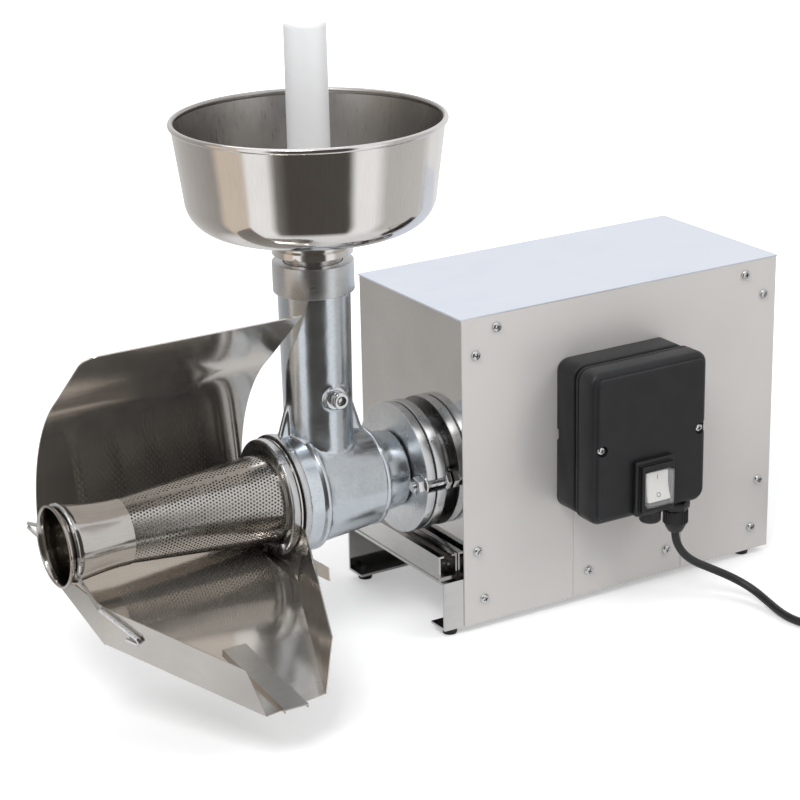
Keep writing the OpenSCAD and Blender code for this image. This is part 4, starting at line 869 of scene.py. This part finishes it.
def perforated_cone():
    """A flat sheet of hexagons, holed, cut to the cone's development, thickened and rolled up"""
    fall = math.hypot(CONE_BIG[1] - CONE_SMALL[1], CONE_BIG[0] - CONE_SMALL[0])
    spread = (CONE_BIG[0] - CONE_SMALL[0]) / fall
    near, far = CONE_SMALL[0] / spread, CONE_BIG[0] / spread
    half = math.pi * spread
    cell_r = HOLE_PITCH / math.sqrt(3)
    first_x = near * math.cos(half)
    rows = math.ceil((far * math.sin(half) + HOLE_PITCH) / HOLE_PITCH)
    shape = bmesh.new()
    for x, y in ((0, 0), (1.5 * cell_r, HOLE_PITCH / 2)):
        place = moved(first_x + x, y - rows * HOLE_PITCH, 0) @ spun(90, "Z")
        bmesh.ops.create_circle(shape, cap_ends=True, segments=6, radius=cell_r, matrix=place)
    repeat(shape, (3 * cell_r, 0, 0), math.ceil((far - first_x) / (3 * cell_r)) + 1)
    repeat(shape, (0, HOLE_PITCH, 0), 2 * rows + 1)

    def off_middle(centre):
        return abs(math.atan2(centre.y, centre.x))

    def off_sheet(centre):
        return not near - 1 < centre.length < far + 1 or off_middle(centre) > half + 3 / near

    def unpierced(centre):
        in_end = centre.length < near + PLAIN_SMALL or centre.length > far - PLAIN_BIG
        return in_end or off_middle(centre) > half - PLAIN_SEAM / centre.length

    outside = [f for f in shape.faces if off_sheet(f.calc_center_median())]
    bmesh.ops.delete(shape, geom=outside, context="FACES")
    bmesh.ops.remove_doubles(shape, verts=shape.verts, dist=0.05)
    holes = [f for f in shape.faces if not unpierced(f.calc_center_median())]
    bmesh.ops.inset_individual(shape, faces=holes, thickness=(cell_r - HOLE_R) * math.cos(math.radians(30)),
                               use_even_offset=True)
    bmesh.ops.delete(shape, geom=holes, context="FACES_ONLY")
    for side in (-1, 1):
        edge = Vector((math.cos(side * half), math.sin(side * half), 0))
        bmesh.ops.bisect_plane(shape, geom=shape.verts[:] + shape.edges[:] + shape.faces[:], dist=1e-4,
                               plane_co=(0, 0, 0), plane_no=Vector((-edge.y, edge.x, 0)) * side,
                               clear_outer=True)
    move_new(shape, bmesh.ops.extrude_face_region(shape, geom=shape.faces[:])["geom"], (0, 0, -CONE_T))
    lean = math.asin(spread)
    for vert in shape.verts:
        slant = min(max(math.hypot(vert.co.x, vert.co.y), near), far)
        turn = math.atan2(vert.co.y, vert.co.x) / spread
        radius = slant * spread + vert.co.z * math.cos(lean)
        height = CONE_BIG[1] - (far - slant) * math.cos(lean) - vert.co.z * math.sin(lean)
        vert.co = (radius * math.cos(turn), radius * math.sin(turn), height)
    bmesh.ops.recalc_face_normals(shape, faces=shape.faces)
    return shape


piece("filter_cone_perforated", perforated_cone(), "filter_group", "perforated_sheet",
      ON_AXIS @ spun(20, "Z"), 45, instead_of="filter_cone")
seat_outline = eased([(33.7, -134.4), (34.6, -134.4), (34.6, -129.5), (42.6, -129.5), (42.6, -128.5),
                      (33.7, -128.5)], 0.2, 2)
piece("cone_seat", turned(seat_outline, 128), "filter_group", "cup_steel", ON_AXIS)

CUP_OUTER = [(25.35, -256), (25.3, -262), (25.4, -266), (26.2, -276), (27.6, -288), (28.9, -297.5),
             (29.0, -299.6), (28.4, -300.8), (28.3, -303), (28.5, -305.2), (29.4, -306.6), (30.6, -307.6),
             (31, -308.6), (30.9, -309.6), (30.2, -310), (29.4, -310)]
CUP_INNER = [(28.9, -309.4), (28.6, -308.4), (27.6, -304.6), (27.5, -300), (27.7, -297.5), (26.5, -288),
             (25.1, -276), (24.4, -266), (24.4, -262), (24.45, -256)]
piece("outlet_cup_spun", turned(CUP_OUTER + CUP_INNER, 144), "filter_group", "cup_steel", ON_AXIS, 40,
      instead_of="outlet_cup")

ring_outline = eased([(34.7, -129.6), (34.7, -133.4), (37.4, -135.4), (43.4, -136), (44.6, -135),
                      (44.6, -129.6)], 0.6)
lugs = [(block((38.6, -4, -137.2), (45.6, 4, -131.2), 0.7, 2), spun(a, "Z")) for a in (90, 213, 324)]
piece("clamp_ring", joined(turned(ring_outline, 144), *lugs), "filter_group", "turned_ring", ON_AXIS,
      instead_of="collar_ring")


# Splash tray

TRAY_LEFT, TRAY_RIGHT, TRAY_T = -300.0, -128.5, 1.0
SCROLL_AT, SCROLL_R = (9.0, 4.0), 42.0
GUARD_AT, GUARD_R = (-81.0, 4.0), 132.0
TRAY_SLOPE = math.radians(13.5)
SCROLL_END = -76.5
FLOOR_START = arc(SCROLL_AT, SCROLL_R, SCROLL_END, 0, 1)[0]
GUARD_END, FLANGE_LEAN, FLANGE_W = 53, 49, 71.0
TRAY_BAYS = 12
# The floor's outline in plan: its left fold, the spout's two corners, its right fold and back corner
FOLD_LEFT, SPOUT_LEFT, SPOUT_RIGHT, FOLD_RIGHT = (-300, -60), (-233, -176), (-183, -170), (-138, -50)
BACK_X = -146


def floor_h(y):
    return FLOOR_START[1] + (y - FLOOR_START[0]) * math.tan(TRAY_SLOPE)


def all_of(faces):
    """The faces with their edges and corners"""
    return list({v for f in faces for v in f.verts}) + list({e for f in faces for e in f.edges}) + faces


def tray_sheet():
    """Guard, scroll and floor in one sheet: its section drawn along X, then trimmed at the folds"""
    lean = math.radians(FLANGE_LEAN)
    top = arc(GUARD_AT, GUARD_R, GUARD_END, 0, 1)[0]
    flange = [(top[0] - FLANGE_W * t * math.sin(lean), top[1] + FLANGE_W * t * math.cos(lean))
              for t in (1, 0.75, 0.5, 0.25)]
    floor = [(y, floor_h(y)) for y in (0, -20, -40, -60, -90, -120, -150, -176)]
    guard = arc(GUARD_AT, GUARD_R, GUARD_END, 0, 40)
    section = flange + guard + arc(SCROLL_AT, SCROLL_R, -3, SCROLL_END, 34) + floor
    shape = bmesh.new()
    points = [shape.verts.new((TRAY_LEFT, y, z)) for y, z in section]
    edges = [shape.edges.new((points[i], points[i + 1])) for i in range(len(points) - 1)]
    for _ in range(TRAY_BAYS):
        made = bmesh.ops.extrude_edge_only(shape, edges=edges)["geom"]
        edges = [e for e in made if isinstance(e, bmesh.types.BMEdge)]
        move_new(shape, made, ((TRAY_RIGHT - TRAY_LEFT) / TRAY_BAYS, 0, 0))

    def trim(where, start, end, keep):
        """Cuts chosen faces along an upright plane through two points of the plan; a third is kept"""
        along = Vector((end[0] - start[0], end[1] - start[1], 0))
        normal = Vector((along.y, -along.x, 0))
        if normal.dot(Vector((keep[0] - start[0], keep[1] - start[1], 0))) > 0:
            normal = -normal
        geometry = all_of([f for f in shape.faces if where(f.calc_center_median())])
        bmesh.ops.bisect_plane(shape, geom=geometry, dist=1e-4, plane_co=(*start, 0), plane_no=normal,
                               clear_outer=True)

    low = lambda c: c.z < FLOOR_START[1] + 0.4 and c.y < FLOOR_START[0] + 1
    middle = (-220, -60)
    trim(lambda c: low(c) and c.y < -59, FOLD_LEFT, SPOUT_LEFT, middle)
    trim(low, SPOUT_RIGHT, FOLD_RIGHT, middle)
    trim(low, FOLD_RIGHT, (BACK_X, FLOOR_START[0]), middle)
    trim(lambda c: c.y < -140, SPOUT_LEFT, SPOUT_RIGHT, middle)
    scroll_low = all_of([f for f in shape.faces if f.calc_center_median().y > FLOOR_START[0]
                         and f.calc_center_median().z < 4])
    bmesh.ops.bisect_plane(shape, geom=scroll_low, dist=1e-4, plane_co=(0, 0, -18), plane_no=(0, 0, 1))
    trim(lambda c: c.y > FLOOR_START[0] - 1 and c.z < -18, (BACK_X, 0), (BACK_X, 60), (-200, 20))
    flange_end = flange[0][0]
    on_flange = lambda c: c.y < flange_end + 30 and c.z > 60
    rounding = [(x, flange_end + up) for x, up in ((-300, 9), (-298.6, 4.4), (-294.4, 1.2), (-287, 0))]
    for start, end in zip(rounding, rounding[1:]):
        trim(on_flange, start, end, (-200, flange_end + 20))
    bmesh.ops.remove_doubles(shape, verts=shape.verts, dist=0.01)
    bmesh.ops.recalc_face_normals(shape, faces=shape.faces)
    inward = sum(f.normal.dot(Vector((0, -30, 30)) - f.calc_center_median()) > 0 for f in shape.faces)
    if inward < len(shape.faces) / 2:
        bmesh.ops.reverse_faces(shape, faces=shape.faces)
    return shape


tray = piece("splash_tray_sheet", tray_sheet(), "filter_group", ["tray_sheet", "tray_outside"], FROM_AXIS,
             25, instead_of="splash_tray")
thick = tray.modifiers.new("sheet_thickness", "SOLIDIFY")
thick.thickness = TRAY_T * MM
thick.offset = -1
thick.material_offset = 1
thick.material_offset_rim = 0
settle(tray)


# Switch box

BOX_X, BOX_Z, BOX_W, BOX_H, BOX_D = 138.0, 142.0, 104.0, 122.0, 53.0
BOX_CORNER = 10
BASE_D, LID_STEP, LID_SCREW_DX = 29.0, 3.0, 46.0
ROCKER_Z = 106.0
ROCKER_TILT = 8.0
PLATE_X = 155.0
GLAND_X, GLAND_IN, PLUG_HOLE_X = 172.0, 39.5, 147.0
ON_BOX = moved(END_X + BOX_X, NEAR_Y, FOOT_H + BOX_Z) @ TO_FRONT
ON_ROCKER = moved(END_X + BOX_X, NEAR_Y - BOX_D, FOOT_H + ROCKER_Z) @ TO_FRONT
FROM_CORNER = moved(END_X, NEAR_Y, FOOT_H)

# Levels of the base and of the lid: (depth, inset), the depths from the base's or the lid's front
base_levels = [(0, 1.2), (0.4, 0.5), (1.2, 0)]
base_levels += [(BASE_D + d, i) for d, i in ((-7.2, 0), (-6.5, 0.15), (-6.0, 0.6), (-5.7, 1.3), (-5.6, 4.6),
                                             (0.05, 4.6))]
tab = block((30, 55, BASE_D - 5.9), (43, 62.6, BASE_D - 2.6), 1.0)
box_base = piece("switch_base_moulded", joined(stacked(BOX_W + 1, BOX_H, BOX_CORNER, base_levels), tab),
                 "machine", "black_plastic", ON_BOX, 40, instead_of="switch_box_base")
lid_levels = [(BASE_D + d, i) for d, i in ((-1.2, 4.7), (-1.15, 1.6), (-0.8, 0.7), (-0.2, 0.25), (1.2, 0.2),
                                           (1.9, 0.25), (2.3, 1.0), (3.0, 1.1), (3.4, 0.4), (4.2, 0.0))]
lid_levels += [(BOX_D + d, i) for d, i in ((-7.5, 0), (-6.2, 0.25), (-5.0, 0.9), (-4.0, 1.9), (-3.4, 3.0),
                                           (-3.15, 4.0), (-3.05, 4.5), (-2.6, 4.65), (-1.2, 4.8),
                                           (-0.5, 5.1), (-0.1, 5.9), (0, 7.0))]
box_lid = piece("switch_lid_moulded", stacked(BOX_W + 5, BOX_H + 1, BOX_CORNER, lid_levels), "machine",
                "black_plastic", ON_BOX, 50, instead_of="switch_box_lid")
cut_away(box_base, *[(block((s * 53.6 - 3.4, -5, -2), (s * 53.6 + 3.4, 5, 3.5), 1.6, 3), ON_BOX)
                     for s in (-1, 1)])
ON_WELLS = [ON_BOX @ moved(s * LID_SCREW_DX, 0, BOX_D - LID_STEP - 0.5) for s in (-1, 1)]
wells = [(turned(eased([(0, 0), (4.5, 0), (4.5, 8), (0, 8)], 0.5, closed=False), 40, False), place)
         for place in ON_WELLS]
lid_notch = (block((51.6, -5, BASE_D + 6), (60, 5, BOX_D + 2), 2.0, 3), ON_BOX)
opening = (block((-15, -18.5, -14), (15, 18.5, 2)), ON_ROCKER)
cut_away(box_lid, lid_notch)
cut_away(box_lid, *wells, opening)
cross_screws("lid_screw_heads", ON_WELLS, 3.6, 2.4, "lid_screws")
corner_screws = [(31, HOUSING_H - 11), (12, HOUSING_H - 30), (12, 61), (18, 20)]
near_screws = [FROM_CORNER @ moved(x, 0, z) @ TO_FRONT for a, z in corner_screws for x in (a, HOUSING_L - a)]
near_screws += [FROM_CORNER @ moved(PLATE_X + s * 38.5, 0, 20) @ TO_FRONT for s in (-1, 1)]
far_screws = [FROM_CORNER @ moved(x, HOUSING_W, z) @ spun(-90, "X")
              for a, z in corner_screws for x in (a, HOUSING_L - a)]
cross_screws("panel_screw_heads", near_screws + far_screws, 4, 2.6, "panel_screws")

frame_levels = soft_levels(0, 5, 1.4) + [(5.0, 3.3), (5.3, 3.5)]
frame_levels += [(depth, inset + 3.5) for depth, inset in soft_levels(5.4, 9, 0.9)[1:]]
rocker_frame = piece("rocker_frame_moulded", stacked(37, 45, 2.5, frame_levels, 5), "machine",
                     "switch_plastic", ON_ROCKER, 40, instead_of="rocker_frame")
cut_away(rocker_frame, (block((-13, -14.5, 6), (13, 14.5, 12)), ON_ROCKER))
cut_away(rocker_frame, (block((-11.6, -13.7, -3), (11.6, 13.7, 7)), ON_ROCKER))
cap_inside = block((-11.6, -13.1, 5.5), (11.6, 13.1, 12.3), 0.8, 2)
bmesh.ops.reverse_faces(cap_inside, faces=cap_inside.faces)
piece("rocker_cap_moulded", joined(block((-12.5, -14, 5.5), (12.5, 14, 13.2), 1.3, 3), cap_inside),
      "machine", "clear_cap", ON_ROCKER, 40, instead_of="rocker_cap")

ON_PIVOT = ON_ROCKER @ moved(0, 0, -1) @ spun(-ROCKER_TILT, "X")
rocker_line = [(-12, 10.2), (-9, 9.5), (-6, 8.95), (-3, 8.6), (0, 8.5), (3, 8.6), (6, 8.95), (9, 9.5),
               (12, 10.2), (11, 4), (4, -3), (-4, -3), (-11, 4)]
rocker_bar = bar(rocker_line, -10.4, 10.4, "X")
rounded_edges(rocker_bar, 0.5, 2, 40)
piece("rocker_moulded", rocker_bar, "rocker_group", "rocker_plastic", ON_PIVOT, 30, instead_of="rocker")
mark_o = (turned([(1.35, 0), (1.9, 0), (1.9, 0.25), (1.35, 0.25)], 32),
          moved(0, -7.2, 9.05) @ spun(-11, "X"))
mark_i = (block((-0.3, -2, 0), (0.3, 2, 0.25)), moved(0, 7.2, 9.05) @ spun(11, "X"))
piece("rocker_marks", joined(mark_o, mark_i), "rocker_group", "mark_ink", ON_PIVOT, 30)

ON_GLAND = FROM_CORNER @ moved(GLAND_X, -GLAND_IN, BOX_Z - BOX_H / 2)
ON_PLUG_HOLE = FROM_CORNER @ moved(PLUG_HOLE_X, -GLAND_IN, BOX_Z - BOX_H / 2)
nut_line = eased([(4.2, -26), (5.6, -26), (7.6, -22.5), (9.1, -19), (9.4, -17.5), (9.4, -7), (4.2, -7)], 0.6)
nut_ribs = [(block((8.6, -0.55, -18.5), (10.1, 0.55, -7.6), 0.35, 1), spun(15 * k, "Z")) for k in range(24)]
piece("gland_nut", joined(turned(nut_line, 64), *nut_ribs, hex_head(11.2, -6.6, 0), rod(6, 0, 4, 32)),
      "machine", "switch_plastic", ON_GLAND, instead_of="cable_gland")
plug_line = eased([(0, -12), (7.6, -12), (8.6, -10.5), (8.6, -3), (0, -3)], 0.8, closed=False)
piece("hole_plug", joined(hex_head(11, -3.5, 0), turned(plug_line, 48, False), rod(6, 0, 4, 32)), "machine",
      "switch_plastic", ON_PLUG_HOLE, instead_of="blanking_plug")


# The source's nodes

NODES_OF = {
    "chassis_sheet": "chassis motor_saddle",
    "black_rubber": "rubber_feet shaft_seal flange_gasket filter_gasket",
    "rail_sheet": "cross_rail",
    "bright_steel": "rail_rivets panel_screws output_bearings motor_bearings capacitor_strap "
                    "retaining_wire lid_screws clamp_bolts clamp_nuts hopper_lock_screw",
    "side_sheet": "near_side_panel far_side_panel switch_plate",
    "top_sheet": "top_cover",
    "end_sheet": "strainer_end_panel fan_end_panel",
    "cast_aluminium": "gearbox_case gearbox_cover motor_front_shield motor_rear_shield",
    "machined_steel": "idler_shaft idler_gear output_gear output_shaft rotor",
    "motor_paint": "motor_shell",
    "copper_winding": "motor_stator",
    "fan_plastic": "cooling_fan",
    "capacitor_white": "run_capacitor",
    "bronze": "body_bush",
    "auger_plastic": "auger",
    "tray_outside": "tray_left_wall spout_strip",
    "tray_sheet": "tray_right_wall splash_tray",
    "black_plastic": "switch_box_base switch_box_lid",
    "switch_plastic": "rocker_frame cable_gland blanking_plug",
    "rocker_plastic": "rocker",
    "clear_cap": "rocker_cap",
    "tinned_casting": "strainer_body",
    "turned_flange": "drive_flange",
    "perforated_sheet": "filter_cone",
    "cup_steel": "outlet_cup",
    "turned_ring": "collar_ring",
    "hopper_sheet": "hopper_bowl hopper_neck",
    "white_plastic": "pestle",
    "cord_sheath": "power_cord cord_coil plug",
}
for finish, nodes in NODES_OF.items():
    for node in nodes.split():
        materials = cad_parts[node].data.materials
        materials.clear()
        materials.append(FINISH[finish])

# The housing's sheets with their cut edges rounded
for node in ("near_side_panel", "far_side_panel", "top_cover", "strainer_end_panel", "switch_plate"):
    eased_copy(node, next(finish for finish, nodes in NODES_OF.items() if node in nodes.split()))


# Studio

# The floor's side and the mirrored room's radius and height in metres
FLOOR_SIZE = 16
ROOM_R, ROOM_H = 0.95, 1.5
# Degrees that bring the camera's side to the middle of the room's bands
BANDS_TURN = 119.8
LIT_SPOT = Vector((0, 0, 0.15))


def both(tree, operation, first, second):
    """A sum of two sockets"""
    node = tree.nodes.new("ShaderNodeMath")
    node.operation = operation
    link(tree, first, node.inputs[0])
    link(tree, second, node.inputs[1])
    return node.outputs[0]


def vector_sum(tree, operation, source, other=None):
    """A sum on a vector, with a fixed vector where it takes one"""
    node = tree.nodes.new("ShaderNodeVectorMath")
    node.operation = operation
    link(tree, source, node.inputs[0])
    if other:
        node.inputs[1].default_value = other
    return node.outputs["Value" if operation == "LENGTH" else "Vector"]


def either(tree, share, first, second):
    """A mix of two shaders, by the share of the second"""
    node = tree.nodes.new("ShaderNodeMixShader")
    for source, target in ((share, "Fac"), (first, 1), (second, 2)):
        link(tree, source, node.inputs[target])
    return node.outputs[0]


def around_hopper(tree):
    """The azimuth about the hopper, 0 to 1 with the camera's side at 0.5, and the metres from it"""
    where = tree.nodes.new("ShaderNodeTexCoord").outputs["Object"]
    turn = tree.nodes.new("ShaderNodeMapping")
    feed(turn, Rotation=(0, 0, math.radians(BANDS_TURN)),
         Vector=vector_sum(tree, "SUBTRACT", where, ((END_X - FEED_X) * MM, AXIS_Y * MM, 0)))
    split = tree.nodes.new("ShaderNodeSeparateXYZ")
    feed(split, Vector=turn.outputs[0])
    angle = both(tree, "ARCTAN2", split.outputs["Y"], split.outputs["X"])
    flat = vector_sum(tree, "MULTIPLY", turn.outputs[0], (1, 1, 0))
    return between(tree, angle, 0, 1, -math.pi, math.pi), vector_sum(tree, "LENGTH", flat)


def room_bands(tree, turn):
    """Light and dark of the room by azimuth in degrees, each with its warmth, as metal mirrors it"""
    bands = [(-180, 0.78, 0), (-130, 0.52, 0.03), (-88, 0.34, 0.06), (-80, 0.62, 0.16), (-57, 0.60, 0.14),
             (-53, 1, 0), (-35, 1, 0), (-28, 0.20, 0.06), (-18, 0.075, 0.12), (34, 0.08, 0.10), (41, 1, 0),
             (58, 1, 0), (70, 0.56, 0.03), (112, 0.62, 0.02), (125, 0.90, 0), (180, 0.85, 0)]
    return steps(tree, turn, [((at + 180) / 360, (v * (1 + warm), v, v * (1 - warm)))
                              for at, v, warm in bands])


def stage_finish(stage):
    """A stage piece's own material, still without a surface"""
    material, tree, shader = new_finish(stage.name)
    tree.nodes.remove(shader)
    stage.data.materials.append(material)
    rays = tree.nodes.new("ShaderNodeLightPath")
    return tree, rays, tree.nodes["Material Output"].inputs["Surface"]


def pale_floor():
    """White to the camera, and to metal a dull sheet with the room's bands in it"""
    shape = bmesh.new()
    bmesh.ops.create_grid(shape, x_segments=1, y_segments=1, size=FLOOR_SIZE / 2)
    tree, rays, surface = stage_finish(in_scene("studio_floor", shape))
    turn, away = around_hopper(tree)
    paper = tree.nodes.new("ShaderNodeBsdfDiffuse")
    paper.inputs["Color"].default_value = (0.88, 0.88, 0.88, 1)
    seen = both(tree, "MULTIPLY", rays.outputs["Is Camera Ray"], between(tree, away, 0.30, 1.0, 0.55, 1.3))
    glow = tree.nodes.new("ShaderNodeEmission")
    link(tree, between(tree, seen, 0.05, 1.0), glow.inputs["Strength"])
    lit = tree.nodes.new("ShaderNodeAddShader")
    link(tree, paper.outputs[0], lit.inputs[0])
    link(tree, glow.outputs[0], lit.inputs[1])
    mirrored = tree.nodes.new("ShaderNodeEmission")
    link(tree, room_bands(tree, turn), mirrored.inputs["Color"])
    share = both(tree, "MULTIPLY", rays.outputs["Is Glossy Ray"], between(tree, away, 0.0, 1.0, 0.28, 0.40))
    link(tree, either(tree, share, lit.outputs[0], mirrored.outputs[0]), surface)


def reflected_room():
    """Bands of light and dark round the table that only polished metal shows"""
    shape = bmesh.new()
    bmesh.ops.create_cone(shape, cap_ends=False, segments=96, radius1=ROOM_R, radius2=ROOM_R, depth=ROOM_H,
                          matrix=moved(0, 0, ROOM_H / 2 + 0.01))
    room = in_scene("reflected_room", shape)
    tree, rays, surface = stage_finish(room)
    glow = tree.nodes.new("ShaderNodeEmission")
    link(tree, room_bands(tree, around_hopper(tree)[0]), glow.inputs["Color"])
    clear = tree.nodes.new("ShaderNodeBsdfTransparent")
    link(tree, either(tree, rays.outputs["Is Glossy Ray"], clear.outputs[0], glow.outputs[0]), surface)
    room.visible_camera = room.visible_diffuse = room.visible_shadow = room.visible_transmission = False


def white_world():
    world = bpy.data.worlds.new("white_world")
    world.use_nodes = True
    tree = world.node_tree
    sky = tree.nodes["Background"]
    sky.inputs["Color"].default_value = (0.97, 0.98, 1.0, 1)
    rays = tree.nodes.new("ShaderNodeLightPath").outputs
    seen = both(tree, "MAXIMUM", rays["Is Camera Ray"], rays["Is Glossy Ray"])
    seen = both(tree, "MAXIMUM", seen, rays["Is Transmission Ray"])
    link(tree, between(tree, seen, 0.45, 1.0), sky.inputs["Strength"])
    bpy.context.scene.world = world


def soft_lamp(name, place, size, watts):
    """A square lamp that points at the machine"""
    data = bpy.data.lights.new(name, "AREA")
    data.shape = "SQUARE"
    data.size = size
    data.energy = watts
    lamp = bpy.data.objects.new(name, data)
    turn = (place - LIT_SPOT).to_track_quat("Z", "Y")
    lamp.matrix_world = Matrix.Translation(place) @ turn.to_matrix().to_4x4()
    bpy.context.scene.collection.objects.link(lamp)


pale_floor()
reflected_room()
white_world()
for name, place, size, watts in (("key_lamp", (-1.1, -0.9, 1.9), 0.9, 22),
                                 ("fill_lamp", (1.4, -1.3, 1.6), 1.2, 14),
                                 ("back_lamp", (0.3, 1.6, 1.8), 1.2, 12)):
    soft_lamp(name, Vector(place), size, watts)

bpy.context.scene.view_settings.view_transform = "Standard"
bpy.context.view_layer.update()
